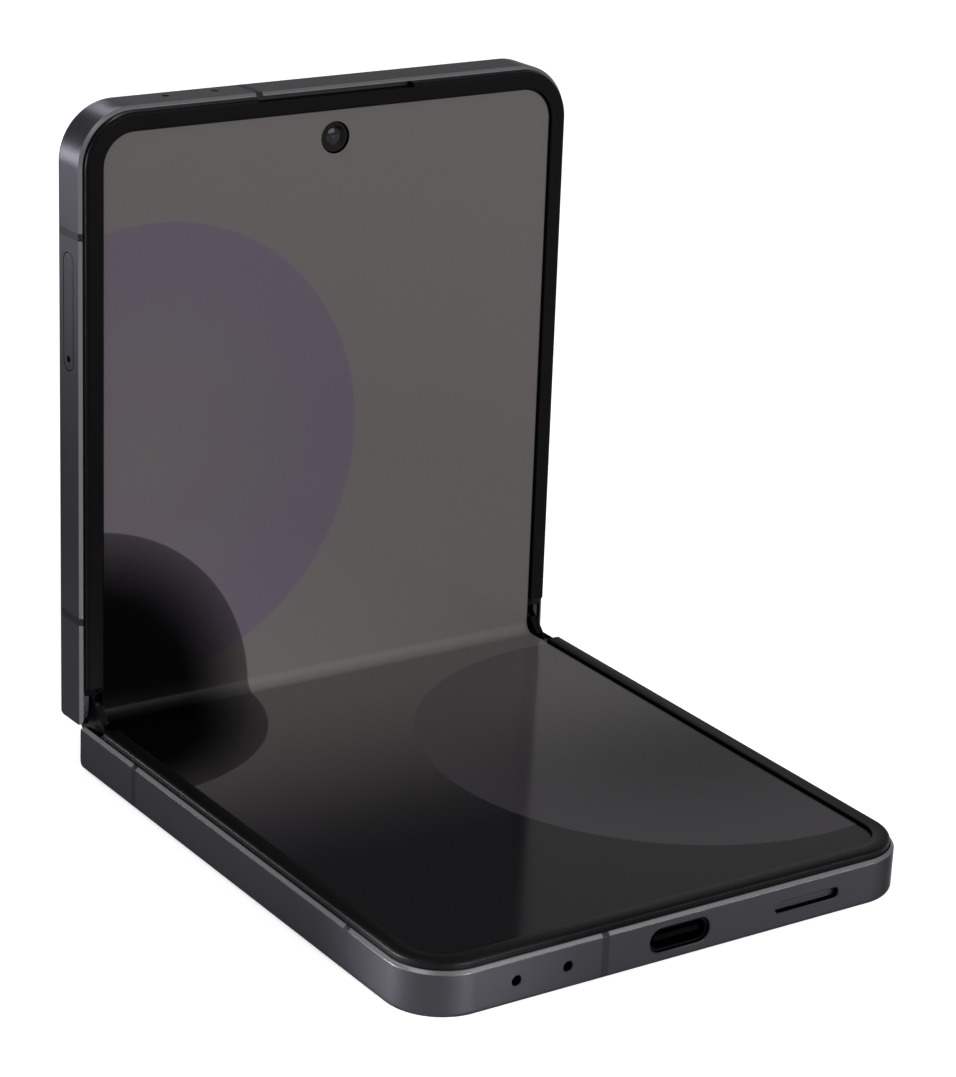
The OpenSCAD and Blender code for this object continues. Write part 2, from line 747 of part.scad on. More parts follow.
// a gap of the upper idler faces the arm's tooth when flat; both then turn with the fold
upper_idler_phase = contact + 180 + idler_pitch_angle / 2 - gear_ratio * half_turn;
lower_idler_phase = 180 - upper_idler_phase + idler_pitch_angle / 2;
module lower_idler_gears() { color(steel) as_spine() idlers(-1, lower_idler_phase); }
module upper_idler_gears() { color(steel) as_spine() idlers(1, upper_idler_phase); }

// ---- what crosses the fold ---------------------------------------------------

// a strip that bends across the fold: it runs straight in each half for a tail's length,
// and then follows two cubic curves that meet in the spine's middle plane
function bezier(p, t) = pow(1 - t, 3) * p[0] + 3 * pow(1 - t, 2) * t * p[1]
    + 3 * (1 - t) * pow(t, 2) * p[2] + pow(t, 3) * p[3];
function bezier_dir(p, t) = let (d = 3 * pow(1 - t, 2) * (p[1] - p[0])
    + 6 * (1 - t) * t * (p[2] - p[1]) + 3 * pow(t, 2) * (p[3] - p[2])) d / norm(d);
// half-frame point of the upper half, in the spine frame
function turn(p, a) = [cos(a) * p[0] - sin(a) * p[1], sin(a) * p[0] + cos(a) * p[1]];
function upper_in_spine(y, z) = turn([y - axis_half, z - axis_z], half_turn) + [axis_half, 0];
strip_steps = 9;
// right-hand side of a strip, from its end in the upper half to the middle plane
function strip_side(y, z, tail, reach, dip, spread, lift) = let (
        p0 = upper_in_spine(y, z), d0 = turn([-1, 0], half_turn),
        c = [p0, p0 + reach * d0, [spread, dip], [0, dip]])
    concat([p0 - tail * d0 + lift * [d0[1], -d0[0]]], [for (i = [0:strip_steps])
        let (t = i / strip_steps, d = i == strip_steps ? [-1, 0] : bezier_dir(c, t))
        bezier(c, t) + lift * [d[1], -d[0]]]);
function flip(points) = [for (i = [len(points) - 1:-1:0]) [-points[i][0], points[i][1]]];
module strip2d(y, z, tail, reach, dip, spread, thick) {
    outer = strip_side(y, z, tail, reach, dip, spread, 0);
    inner = strip_side(y, z, tail, reach, dip, spread, thick);
    last = len(outer) - 1;
    polygon(concat(outer, flip([for (i = [0:last - 1]) outer[i]]),
        [for (i = [0:last - 1]) [-inner[i][0], inner[i][1]]],
        [for (i = [last:-1:0]) inner[i]]));
}

fold_x = gear_in - 0.15;
module display_fold() {
    color(screen_grey) as_spine() along_x(-fold_x, fold_x)
        strip2d(fold_half - slip - 0.1, display_z, 0.1, 4.2, -0.35, 0.8, -fold_t);
}
module hinge_flex_cables() {
    color(copper) as_spine() for (x = flex_x) along_x(x - flex_w / 2, x + flex_w / 2)
        strip2d(bay_end - 0.3, flex_z, flex_tail, 3, -2.6, 2, flex_t);
}

// ---- upper half --------------------------------------------------------------

earpiece_l = 23.6;
earpiece_w = 0.55;
earpiece_rim = 0.15;
earpiece_low = deck_top - 1.2;
earpiece_mesh_t = 0.25;
top_mic_x = [14.1 - side_x, 21.3 - side_x];
key_x = side_x - wall_t - 0.9;
key_z = 2.9;
module upper_frame() {
    color(metal_grey) as_upper() difference() {
        half_frame();
        earpiece_slot();
        // its way to the receiver
        span([-5, inner_end - 1, earpiece_low], [5, half_len - bezel_inset, earpiece_low + 0.7]);
        for (x = top_mic_x) translate([x, inner_end - 1, key_z - 0.5]) rotate([-90, 0, 0])
            cylinder(d = top_mic_d, h = wall_t + 2);
        side_slot(inner_x - 1, side_x + 1, side_key_y, key_z, side_key_l + 2 * key_gap,
            key_h + 2 * key_gap);
        side_slot(inner_x - 1, side_x + 1, volume_key_y, key_z, volume_key_l + 2 * key_gap,
            key_h + 2 * key_gap);
        side_slot(-side_x - 1, -inner_x + 1, tray_y, key_z, tray_l + 2 * key_gap,
            tray_h + 2 * key_gap);
        translate([0, half_len - punch_from_end, deck_low - 1]) cylinder(d = punch_d + 0.4, h = 3);
        for (s = [-1, 1]) for (x = arm_screw_x)
            screw_hole(s * x, arm_screw_y, deck_low - 1, deck_top + 1);
    }
}
// slot between the bezel and the rim, down into the end wall
module earpiece_slot() {
    span([-earpiece_l / 2, half_len - bezel_inset - earpiece_w, earpiece_low],
        [earpiece_l / 2, half_len - bezel_inset + earpiece_rim, bezel_top + 1]);
}
module upper_antenna_breaks() {
    color(break_grey) as_upper() difference() {
        half_breaks();
        earpiece_slot();
    }
}
module upper_bezel() {
    color(trim_black) as_upper() difference() {
        half_bezel();
        earpiece_slot();
    }
}
module punch_cut(d) {
    translate([0, half_len - punch_from_end, deck_low - 1]) cylinder(d = d, h = 5);
}
module display_upper() { color(screen_grey) as_upper() half_panel() punch_cut(punch_d); }
module upper_display_plate() { color(steel) as_upper() half_plate() punch_cut(punch_d + 0.4); }

module at_cameras() {
    for (i = [0, 1]) translate([camera_x - i * camera_pitch, camera_y, 0]) children();
}
module cover_glass() {
    color(glass_grey) as_upper() difference() {
        back_glass(glass_t);
        at_cameras() translate([0, 0, -1]) cylinder(d = ring_d - 1.6, h = 3);
    }
}
cover_screen_t = 0.6;
module cover_display() {
    color(trim_black) as_upper() translate([0, 0, glass_t]) linear_extrude(cover_screen_t)
        translate([0, (bar_end + camera_y - ring_d / 2) / 2])
            round_rect2d(2 * inner_x - 1.2, camera_y - ring_d / 2 - bar_end - 3, 3);
}

lens_t = 0.5;
module camera_rings() {
    color(metal_grey) as_upper() at_cameras() difference() {
        union() {
            translate([0, 0, -ring_rise]) cylinder(d = ring_d, h = ring_rise - 0.01);
            translate([0, 0, -0.05]) cylinder(d = ring_d - 1.6 - 2 * slip, h = glass_t + 0.4);
        }
        translate([0, 0, -ring_rise - 1]) cylinder(d = ring_d - 3, h = 9);
        // bevel on the ring's outer edge
        translate([0, 0, -ring_rise]) rotate_extrude()
            polygon([[ring_d / 2 - 0.35, -0.01], [ring_d / 2 + 0.1, -0.01], [ring_d / 2 + 0.1, 0.44]]);
    }
}
module camera_lenses() {
    color(cell_black) as_upper() at_cameras()
        translate([0, 0, -ring_rise + 0.15]) cylinder(d = ring_d - 3 - 2 * slip, h = lens_t);
}
module camera_modules() {
    color(cell_black) as_upper() at_cameras() {
        translate([0, 0, -ring_rise + 0.15 + lens_t + lay_gap])
            cylinder(d = 7.6, h = 3.4 + ring_rise - 0.15 - lens_t - lay_gap);
        span([-4.4, -4.4, 1.2], [4.4, 4.4, inside_high - 0.2]);
    }
}
module flash_lens() {
    color("#d8d4c8") as_upper() translate([flash_x, camera_y, glass_t + slip])
        cylinder(d = 3.6, h = 0.7);
}

reader_margin = 1;
tray_t = 1;
tray_front_t = 1.6;
upper_cell_y = [bar_end + 6.5, tray_y - tray_l / 2 - 5.1];
module upper_battery() {
    color(cell_black) as_upper() translate([0, 0, inside_high - 3]) linear_extrude(3)
        translate([-1, (upper_cell_y[0] + upper_cell_y[1]) / 2])
            round_rect2d(2 * inner_x - 12, upper_cell_y[1] - upper_cell_y[0], 1);
}
board_z = inside_high - board_t - 0.4;
module main_board() {
    color(board_green) as_upper() difference() {
        intersection() {
            span([-side_x, upper_cell_y[1] + 1, board_z],
                [inner_x - 3.4, inner_end - 0.5, board_z + board_t]);
            inner_room();
        }
        at_cameras() span([-4.7, -4.7, 0], [4.7, 4.7, 9]);
        translate([0, half_len - punch_from_end, 0]) cylinder(d = front_body_d + 1.4, h = frame_h);
        span([-receiver_l / 2 - 1.7, inner_end - receiver_w - 0.2, 0],
            [receiver_l / 2 - 1.3, inner_end, frame_h]);
        translate([-side_x, tray_y - tray_l / 2 - reader_margin - lay_gap, 0]) cube(
            [tray_depth + reader_margin + lay_gap, tray_l + 2 * (reader_margin + lay_gap), frame_h]);
    }
}
can_x = [-side_x + tray_depth + reader_margin + 6, side_x - 10];
can_y = [upper_cell_y[1] + 3, camera_y - ring_d / 2 - 5.3];
can_split = 0.55 * can_x[1] + 0.45 * can_x[0];
can_low = glass_t + cover_screen_t + 0.2;
module shield_cans() {
    color(steel) as_upper() {
        span([can_x[0], can_y[0], can_low], [can_split, can_y[1], board_z]);
        span([can_split + 3, can_y[0], can_low], [can_x[1], can_y[1], board_z]);
    }
}
receiver_l = 13.6;
receiver_w = 4.8;
receiver_low = glass_t + 1;
front_body_d = 6.2;
front_lens_down = 0.25;
module front_camera() {
    color(trim_black) as_upper() translate([0, half_len - punch_from_end, receiver_low]) {
        cylinder(d = front_body_d, h = inside_high - lay_gap - receiver_low);
        cylinder(d = punch_d - 0.3, h = display_z - front_lens_down - receiver_low);
    }
}
module earpiece_receiver() {
    color(cell_black) as_upper() difference() {
        span([-receiver_l / 2 - 1.5, inner_end - receiver_w, receiver_low],
            [receiver_l / 2 - 1.5, inner_end - lay_gap, inside_high]);
        translate([0, half_len - punch_from_end, 0]) cylinder(d = front_body_d + 0.6, h = frame_h);
    }
}
module earpiece_mesh() {
    color(trim_black) as_upper() span(
        [-earpiece_l / 2 + slip, half_len - bezel_inset - earpiece_w + slip, deck_top - 2 * earpiece_mesh_t],
        [earpiece_l / 2 - slip, half_len - bezel_inset + earpiece_rim - slip, deck_top - earpiece_mesh_t]);
}
module top_microphones() {
    color(steel) as_upper() for (x = top_mic_x)
        span([x - 1.3, inner_end - 4, key_z - 0.9], [x + 1.3, inner_end - 1.3, board_z - slip]);
}

// card tray: a front that closes the slot and a carrier plate with a card window
module card_tray() {
    color(metal_grey) as_upper() difference() {
        union() {
            side_slot(-side_x, -side_x + tray_front_t, tray_y, key_z, tray_l, tray_h);
            span([-side_x + tray_front_t - 0.01, tray_y - tray_l / 2 + 0.9, key_z - tray_t / 2],
                [-side_x + tray_depth, tray_y + tray_l / 2 - 0.9, key_z + tray_t / 2]);
        }
        span([-side_x + 3, tray_y - 6.2, key_z - 0.1], [-side_x + tray_depth - 1, tray_y + 6.2, 9]);
        // eject hole
        translate([-side_x - 1, tray_y - tray_l / 2 + 1.45, key_z]) rotate([0, 90, 0])
            cylinder(d = 0.9, h = 2.9);
    }
}
module card_tray_seal() {
    color(trim_black) as_upper() difference() {
        side_slot(-side_x + tray_front_t + 0.1, -side_x + tray_front_t + 0.35, tray_y, key_z,
            tray_l + 0.05, tray_h + 0.05);
        span([-side_x, tray_y - tray_l / 2 + 0.85, key_z - tray_t / 2 - slip],
            [side_x, tray_y + tray_l / 2 - 0.85, key_z + tray_t / 2 + slip]);
    }
}
module card_reader() {
    color(steel) as_upper() difference() {
        span([-inner_x + 0.6, tray_y - tray_l / 2 - reader_margin, key_z - tray_t / 2 - 0.45],
            [-side_x + tray_depth + reader_margin, tray_y + tray_l / 2 + reader_margin,
                key_z + tray_t / 2 + 0.45]);
        span([-side_x - 1, tray_y - tray_l / 2 + 0.9 - 0.3, key_z - tray_t / 2 - 0.2],
            [-side_x + tray_depth + 0.3, tray_y + tray_l / 2 - 0.9 + 0.3, key_z + tray_t / 2 + 0.2]);
    }
}

// keys: a cap in the wall's slot and a wider flange behind it
module key(y, l) {
    side_slot(key_x + 0.8, side_x + key_rise, y, key_z, l, key_h);
    side_slot(key_x + 0.3, key_x + 0.6, y, key_z, l + 1, key_h + 0.8);
    side_slot(key_x + 0.5, key_x + 0.9, y, key_z, l - 2, key_h - 0.4);
}
module side_key() { color(metal_grey) as_upper() key(side_key_y, side_key_l); }
module volume_key() { color(metal_grey) as_upper() key(volume_key_y, volume_key_l); }
switch_x = key_x - 0.75;
module side_key_switch() {
    color(steel) as_upper()
        span([switch_x, side_key_y - 4, key_z - 1], [key_x - 0.05, side_key_y + 4, inside_high]);
}
module volume_key_switches() {
    color(steel) as_upper() for (s = [-1, 1])
        span([switch_x, volume_key_y + s * 7 - 2, key_z - 1],
            [key_x - 0.1, volume_key_y + s * 7 + 2, inside_high]);
}
module upper_screws() { color(steel) as_upper() half_screws(); }
module upper_magnets() { color(steel) as_upper() half_magnets([-1]); }
module upper_hinge_arms() { color(steel) as_upper() arms(0); }

lower_frame();
lower_antenna_breaks();
lower_bezel();
lower_back_cover();
display_lower();
lower_display_plate();
lower_battery();
charging_coil();
sub_board();
usb_c_shell();
usb_c_tongue();
usb_c_seal();
loudspeaker();
speaker_mesh();
bottom_microphones();
vibration_motor();
lower_screws();
lower_magnets();
lower_hinge_arms();
hinge_spine();
hinge_cap_left();
hinge_cap_right();
hinge_brackets();
hinge_pins();
idler_shafts();
friction_springs();
lower_idler_gears();
upper_idler_gears();
display_fold();
hinge_flex_cables();
upper_frame();
upper_antenna_breaks();
upper_bezel();
cover_glass();
cover_display();
display_upper();
upper_display_plate();
upper_battery();
main_board();
shield_cans();
camera_rings();
camera_lenses();
camera_modules();
flash_lens();
front_camera();
earpiece_receiver();
earpiece_mesh();
top_microphones();
card_reader();
card_tray();
card_tray_seal();
side_key();
side_key_switch();
volume_key();
volume_key_switches();
upper_screws();
upper_magnets();
upper_hinge_arms();
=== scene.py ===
import json
import math

import bmesh
import bpy
import numpy as np
from mathutils import Matrix, Vector


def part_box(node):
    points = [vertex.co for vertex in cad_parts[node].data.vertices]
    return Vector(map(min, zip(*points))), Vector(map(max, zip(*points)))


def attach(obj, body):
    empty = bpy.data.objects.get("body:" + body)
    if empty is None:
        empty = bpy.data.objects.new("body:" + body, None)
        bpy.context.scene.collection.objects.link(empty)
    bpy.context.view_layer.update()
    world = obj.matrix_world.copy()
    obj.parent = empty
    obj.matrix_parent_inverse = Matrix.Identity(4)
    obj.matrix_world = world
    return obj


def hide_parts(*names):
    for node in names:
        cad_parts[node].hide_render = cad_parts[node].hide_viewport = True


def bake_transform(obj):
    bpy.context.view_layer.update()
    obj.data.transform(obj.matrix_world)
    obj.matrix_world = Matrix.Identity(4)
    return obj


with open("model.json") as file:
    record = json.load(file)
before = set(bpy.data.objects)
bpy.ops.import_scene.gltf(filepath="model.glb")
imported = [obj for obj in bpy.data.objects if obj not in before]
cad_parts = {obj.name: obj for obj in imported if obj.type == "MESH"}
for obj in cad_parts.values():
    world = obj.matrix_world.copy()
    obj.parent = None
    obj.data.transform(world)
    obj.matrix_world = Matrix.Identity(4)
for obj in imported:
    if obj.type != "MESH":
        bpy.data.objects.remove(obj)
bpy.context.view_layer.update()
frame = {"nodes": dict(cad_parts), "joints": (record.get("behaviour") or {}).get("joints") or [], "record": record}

# ---- sizes in millimetres, read from the frame where it has them ----
MM = 0.001
JOINTS = {j["name"]: j for j in frame["joints"]}
LOW_AXIS = [v / MM for v in JOINTS["spine_fold"]["pos_m"]]
UP_AXIS = [v / MM for v in JOINTS["upper_fold"]["pos_m"]]
AXIS_GAP = math.hypot(UP_AXIS[1] - LOW_AXIS[1], UP_AXIS[2] - LOW_AXIS[2])
AXIS_HALF = AXIS_GAP / 2
HALF_TURN = math.atan2(UP_AXIS[2] - LOW_AXIS[2], UP_AXIS[1] - LOW_AXIS[1])
AXIS_Z = LOW_AXIS[2]
FOLD_Y = LOW_AXIS[1] + AXIS_HALF


def cad_box(node):
    """A CAD node's box in millimetres."""
    low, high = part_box(node)
    return [v / MM for v in low], [v / MM for v in high]


LOWER_BOX = cad_box("lower_frame")
SIDE_X = LOWER_BOX[1][0]
HALF_LEN = FOLD_Y - LOWER_BOX[0][1]
FRAME_H = LOWER_BOX[1][2]
DISPLAY_Z = cad_box("display_lower")[1][2]
BEZEL_TOP = cad_box("lower_bezel")[1][2]
CORNER_R = 7.5
BEVEL = 0.4
BACK_ROUND = 0.6
END_ROUND = 0.7
BACK_END_ROUND = 1.3
START = 0.1
WALL = 2.0
GLASS_T = 0.6
GLASS_INSET = 1.0
DECK_TOP = FRAME_H - 0.35
DECK_LOW = DECK_TOP - 0.6
BORDER = 3.15
DARK_LINE = 0.3
BEZEL_INSET = 0.6
BEZEL_START = 5.4
SPINE_R = 3.9
SPINE_GAP = 0.2
BAY_END = AXIS_HALF + SPINE_R + SPINE_GAP + 0.3
BAR_END = BAY_END + 1
BAY_WALL = 1.4
PORT_Z = 2.95
KEY_Z = 2.9
BREAK_W = 1.0
BREAK_DEPTH = 0.7
CAMERA_X = 26.4
CAMERA_PITCH = 15.6
CAMERA_Y = HALF_LEN - 10.6
PUNCH_Y = HALF_LEN - 6.75
PUNCH_R = 2.1

# ---- placing: half frame and spine frame into the row frame ----
TO_METRES = Matrix.Scale(MM, 4)
LOWER = TO_METRES @ Matrix.Translation((0, FOLD_Y, 0)) @ Matrix.Scale(-1, 4, (0, 1, 0))
SPINE = (TO_METRES @ Matrix.Translation((0, LOW_AXIS[1], LOW_AXIS[2]))
         @ Matrix.Rotation(HALF_TURN, 4, "X") @ Matrix.Translation((0, AXIS_HALF, 0)))
UPPER = (TO_METRES @ Matrix.Translation((0, UP_AXIS[1], UP_AXIS[2]))
         @ Matrix.Rotation(2 * HALF_TURN, 4, "X")
         @ Matrix.Translation((0, -AXIS_HALF, -AXIS_Z)))
PLACES = {"lower_half": LOWER, "hinge_spine": SPINE, "upper_half": UPPER,
          "side_key": UPPER, "volume_key": UPPER, "card_tray": UPPER}


# ---- mesh helpers ----
def mesh_object(name, points, faces):
    """A mesh object from points in millimetres."""
    mesh = bpy.data.meshes.new(name)
    mesh.from_pydata([tuple(p) for p in points], [], faces)
    mesh.validate()
    obj = bpy.data.objects.new(name, mesh)
    bpy.context.scene.collection.objects.link(obj)
    return obj


def outward(obj):
    """Turns all faces outwards."""
    work = bmesh.new()
    work.from_mesh(obj.data)
    bmesh.ops.recalc_face_normals(work, faces=work.faces)
    work.to_mesh(obj.data)
    work.free()
    return obj


def apply_modifiers(obj):
    """Puts the result of the object's modifiers into its mesh."""
    graph = bpy.context.evaluated_depsgraph_get()
    done = bpy.data.meshes.new_from_object(obj.evaluated_get(graph))
    obj.modifiers.clear()
    obj.data = done
    return obj


def combine(obj, tools, operation):
    """Boolean of obj with several closed tools, which are used up."""
    for tool in tools:
        mod = obj.modifiers.new("cut", "BOOLEAN")
        mod.object = tool
        mod.operation = operation
        mod.solver = "EXACT"
    apply_modifiers(obj)
    for tool in tools:
        bpy.data.objects.remove(tool)
    return obj


def cut(obj, tools):
    return combine(obj, tools, "DIFFERENCE")


def smooth(obj, angle=32):
    """Smooth shading that keeps the sharp edges and favours the large faces."""
    for poly in obj.data.polygons:
        poly.use_smooth = True
    obj.data.set_sharp_from_angle(angle=math.radians(angle))
    mod = obj.modifiers.new("normals", "WEIGHTED_NORMAL")
    mod.keep_sharp = True
    return apply_modifiers(obj)


def place(obj, body, slot, *nodes, paints=None):
    """Puts a finished piece from millimetres into the row frame, on its body.
    paints are the names of the materials that the faces' indices choose from."""
    matrix = PLACES[body]
    obj.data.transform(matrix)
    if matrix.determinant() < 0:
        obj.data.flip_normals()
    names = paints or (slot,)
    while len(obj.data.materials) < len(names):
        obj.data.materials.append(None)
    for index, name in enumerate(names):
        obj.data.materials[index] = PAINT[name]
    if nodes:
        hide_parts(*nodes)
    return obj


def riding(obj, body, slot, *nodes, paints=None):
    """Places a finished piece and lets it ride on its body."""
    place(obj, body, slot, *nodes, paints=paints)
    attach(obj, body)


def strip_faces(rings, count):
    """Quads between rings of the same number of points."""
    faces = []
    for r in range(rings - 1):
        for i in range(count):
            j = (i + 1) % count
            faces.append((r * count + i, r * count + j, (r + 1) * count + j, (r + 1) * count + i))
    return faces


def solid_of_rings(name, rings):
    """A closed body through rings of points."""
    count = len(rings[0])
    points = [p for ring in rings for p in ring]
    faces = strip_faces(len(rings), count)
    faces.append(tuple(range(count - 1, -1, -1)))
    faces.append(tuple((len(rings) - 1) * count + i for i in range(count)))
    return outward(mesh_object(name, points, faces))


def arc(cx, cy, r, a0, a1, steps):
    """Points of an arc, angles in degrees."""
    turns = [math.radians(a0 + (a1 - a0) * i / steps) for i in range(steps + 1)]
    return [(cx + r * math.cos(t), cy + r * math.sin(t)) for t in turns]


def tongue(half_w, y0, y1, r, steps=20):
    """Flat outline with a square end at y0 and two round corners at y1."""
    r = max(r, 0.05)
    points = [(half_w, y0)]
    points += arc(half_w - r, y1 - r, r, 0, 90, steps)
    points += arc(-half_w + r, y1 - r, r, 90, 180, steps)
    points.append((-half_w, y0))
    return points


def round_rect(w, l, r, steps=8):
    points = []
    for sx, sy, a in ((1, 1, 0), (-1, 1, 90), (-1, -1, 180), (1, -1, 270)):
        points += arc(sx * (w / 2 - r), sy * (l / 2 - r), r, a, a + 90, steps)
    return points


def box(a, b):
    """Closed box between two corners."""
    low = [min(p, q) for p, q in zip(a, b)]
    high = [max(p, q) for p, q in zip(a, b)]
    flat = [(low[0], low[1]), (high[0], low[1]), (high[0], high[1]), (low[0], high[1])]
    return solid_of_rings("tool", [[(x, y, z) for x, y in flat] for z in (low[2], high[2])])


def prism(outline, z0, z1):
    """Closed body: a flat outline drawn up."""
    return solid_of_rings("tool", [[(x, y, z) for x, y in outline] for z in (z0, z1)])


def along_x(outline, x0, x1):
    """Closed body: an outline of (y, z) drawn along x."""
    return solid_of_rings("tool", [[(x, y, z) for y, z in outline] for x in (x0, x1)])


def flared(outline_of, sections, axis, centre):
    """A hole's tool: outline_of(grow) at each (depth, grow) along an axis.
    axis 'y' or 'x' is the direction of depth, and the outline lies across it."""
    rings = []
    for depth, grow in sections:
        ring = []
        for p, q in outline_of(grow):
            if axis == "y":
                ring.append((centre[0] + p, depth, centre[1] + q))
            elif axis == "x":
                ring.append((depth, centre[0] + p, centre[1] + q))
            else:
                ring.append((centre[0] + p, centre[1] + q, depth))
        rings.append(ring)
    return solid_of_rings("tool", rings)


def pill(l, h, steps=10):
    """Outline function of a slot with round ends."""
    def at(grow):
        r = h / 2 + grow
        side = l / 2 - h / 2
        return arc(side, 0, r, -90, 90, steps) + arc(-side, 0, r, 90, 270, steps)
    return at


def disc(d, steps=32):
    def at(grow):
        return arc(0, 0, d / 2 + grow, 0, 360 - 360 / steps, steps - 1)
    return at


def lathe(name, profile, centre, steps=64):
    """Turned body about an axis along z: profile of (radius, z), from axis to axis."""
    points = []
    faces = []
    count = len(profile)
    for i in range(steps):
        t = 2 * math.pi * i / steps
        for r, z in profile:
            points.append((centre[0] + r * math.cos(t), centre[1] + r * math.sin(t), z))
    for i in range(steps):
        a = i * count
        b = ((i + 1) % steps) * count
        for k in range(count):
            n = (k + 1) % count
            faces.append((a + k, b + k, b + n, a + n))
    return outward(mesh_object(name, points, faces))


# ---- materials ----
def node(tree, kind, **values):
    made = tree.nodes.new(kind)
    for key, value in values.items():
        setattr(made, key, value)
    return made


def math_node(tree, operation, a, b=None, c=None):
    """A Math node on numbers or sockets; gives its output."""
    made = node(tree, "ShaderNodeMath", operation=operation)
    for socket, value in zip(made.inputs, (a, b, c)):
        if value is None:
            continue
        if isinstance(value, (int, float)):
            socket.default_value = value
        else:
            tree.links.new(value, socket)
    return made.outputs[0]


def noise(tree, scale, detail=3.0, roughness=0.5, stretch=(1, 1, 1)):
    """Noise over the object's own coordinates, features per metre."""
    where = node(tree, "ShaderNodeTexCoord")
    mapping = node(tree, "ShaderNodeMapping")
    mapping.inputs["Scale"].default_value = stretch
    made = node(tree, "ShaderNodeTexNoise")
    made.inputs["Scale"].default_value = scale
    made.inputs["Detail"].default_value = detail
    made.inputs["Roughness"].default_value = roughness
    tree.links.new(where.outputs["Object"], mapping.inputs["Vector"])
    tree.links.new(mapping.outputs["Vector"], made.inputs["Vector"])
    return made.outputs["Fac"]


def remap(tree, value, low, high):
    made = node(tree, "ShaderNodeMapRange")
    made.inputs["From Min"].default_value = 0.3
    made.inputs["From Max"].default_value = 0.7
    made.inputs["To Min"].default_value = low
    made.inputs["To Max"].default_value = high
    tree.links.new(value, made.inputs["Value"])
    return made.outputs["Result"]


def mix_colour(tree, share, a, b):
    """Mix of two colours or colour sockets."""
    made = node(tree, "ShaderNodeMix", data_type="RGBA")
    if isinstance(share, (int, float)):
        made.inputs[0].default_value = share
    else:
        tree.links.new(share, made.inputs[0])
    for socket, value in ((made.inputs[6], a), (made.inputs[7], b)):
        if isinstance(value, tuple):
            socket.default_value = (*value, 1.0)
        else:
            tree.links.new(value, socket)
    return made.outputs[2]


def material(name, base, rough, metallic=0.0, specular=0.5, grain=(2500, 0.1, 0.01),
             vary=0.06, rough_vary=0.04, coat=0.0, coat_rough=0.1, stretch=(1, 1, 1),
             edge=1.0):
    """Plain finish with fine grain: colour, roughness and relief all vary a little."""
    made = bpy.data.materials.new(name)
    made.use_nodes = True
    tree = made.node_tree
    shader = tree.nodes["Principled BSDF"]
    shader.inputs["Metallic"].default_value = metallic
    shader.inputs["Specular IOR Level"].default_value = specular
    shader.inputs["Specular Tint"].default_value = (edge, edge, edge, 1)
    shader.inputs["Coat Weight"].default_value = coat
    shader.inputs["Coat Roughness"].default_value = coat_rough
    scale, strength, depth = grain
    wide = noise(tree, 90, 4.0)
    fine = noise(tree, scale, 2.0, 0.6, stretch)
    dark = tuple(c * (1 - vary) for c in base)
    light = tuple(c * (1 + vary) for c in base)
    tree.links.new(mix_colour(tree, wide, dark, light), shader.inputs["Base Color"])
    tree.links.new(remap(tree, fine, rough - rough_vary, rough + rough_vary),
                   shader.inputs["Roughness"])
    bump = node(tree, "ShaderNodeBump")
    bump.inputs["Strength"].default_value = strength
    bump.inputs["Distance"].default_value = depth * MM
    tree.links.new(fine, bump.inputs["Height"])
    tree.links.new(bump.outputs["Normal"], shader.inputs["Normal"])
    return made


# ---- the display's picture ----
LIT_X = SIDE_X - BORDER
LIT_Y = HALF_LEN - BORDER
LIT_R = CORNER_R - BORDER


def display_coordinates(tree):
    """x across and s along the display, in millimetres from its middle."""
    uv = node(tree, "ShaderNodeUVMap", uv_map="display")
    split = node(tree, "ShaderNodeSeparateXYZ")
    tree.links.new(uv.outputs["UV"], split.inputs[0])
    x = math_node(tree, "MULTIPLY_ADD", split.outputs["X"], 2 * SIDE_X, -SIDE_X)
    s = math_node(tree, "MULTIPLY_ADD", split.outputs["Y"], 2 * HALF_LEN, -HALF_LEN)
    return x, s


def distance_to(tree, x, s, centre):
    dx = math_node(tree, "SUBTRACT", x, centre[0])
    ds = math_node(tree, "SUBTRACT", s, centre[1])
    square = math_node(tree, "ADD", math_node(tree, "MULTIPLY", dx, dx),
                       math_node(tree, "MULTIPLY", ds, ds))
    return math_node(tree, "SQRT", square)


def ramp(tree, value, start, end):
    """0 to 1, smoothly, as value goes from start to end."""
    made = node(tree, "ShaderNodeMapRange", interpolation_type="SMOOTHSTEP")
    made.inputs["From Min"].default_value = start
    made.inputs["From Max"].default_value = end
    tree.links.new(value, made.inputs["Value"])
    return made.outputs["Result"]


def lit_share(tree, x, s):
    """1 inside the lit picture, 0 on the black border and at the camera hole."""
    qx = math_node(tree, "SUBTRACT", math_node(tree, "ABSOLUTE", x), LIT_X - LIT_R)
    qs = math_node(tree, "SUBTRACT", math_node(tree, "ABSOLUTE", s), LIT_Y - LIT_R)
    ox = math_node(tree, "MAXIMUM", qx, 0.0)
    os_ = math_node(tree, "MAXIMUM", qs, 0.0)
    outside = math_node(tree, "SQRT", math_node(tree, "ADD", math_node(tree, "MULTIPLY", ox, ox),
                                                math_node(tree, "MULTIPLY", os_, os_)))
    inside = math_node(tree, "MINIMUM", math_node(tree, "MAXIMUM", qx, qs), 0.0)
    edge = math_node(tree, "SUBTRACT", math_node(tree, "ADD", outside, inside), LIT_R)
    hole = distance_to(tree, x, s, (0, PUNCH_Y))
    return math_node(tree, "MULTIPLY", ramp(tree, edge, 0.05, -0.05),
                     ramp(tree, hole, PUNCH_R, PUNCH_R + 0.08))


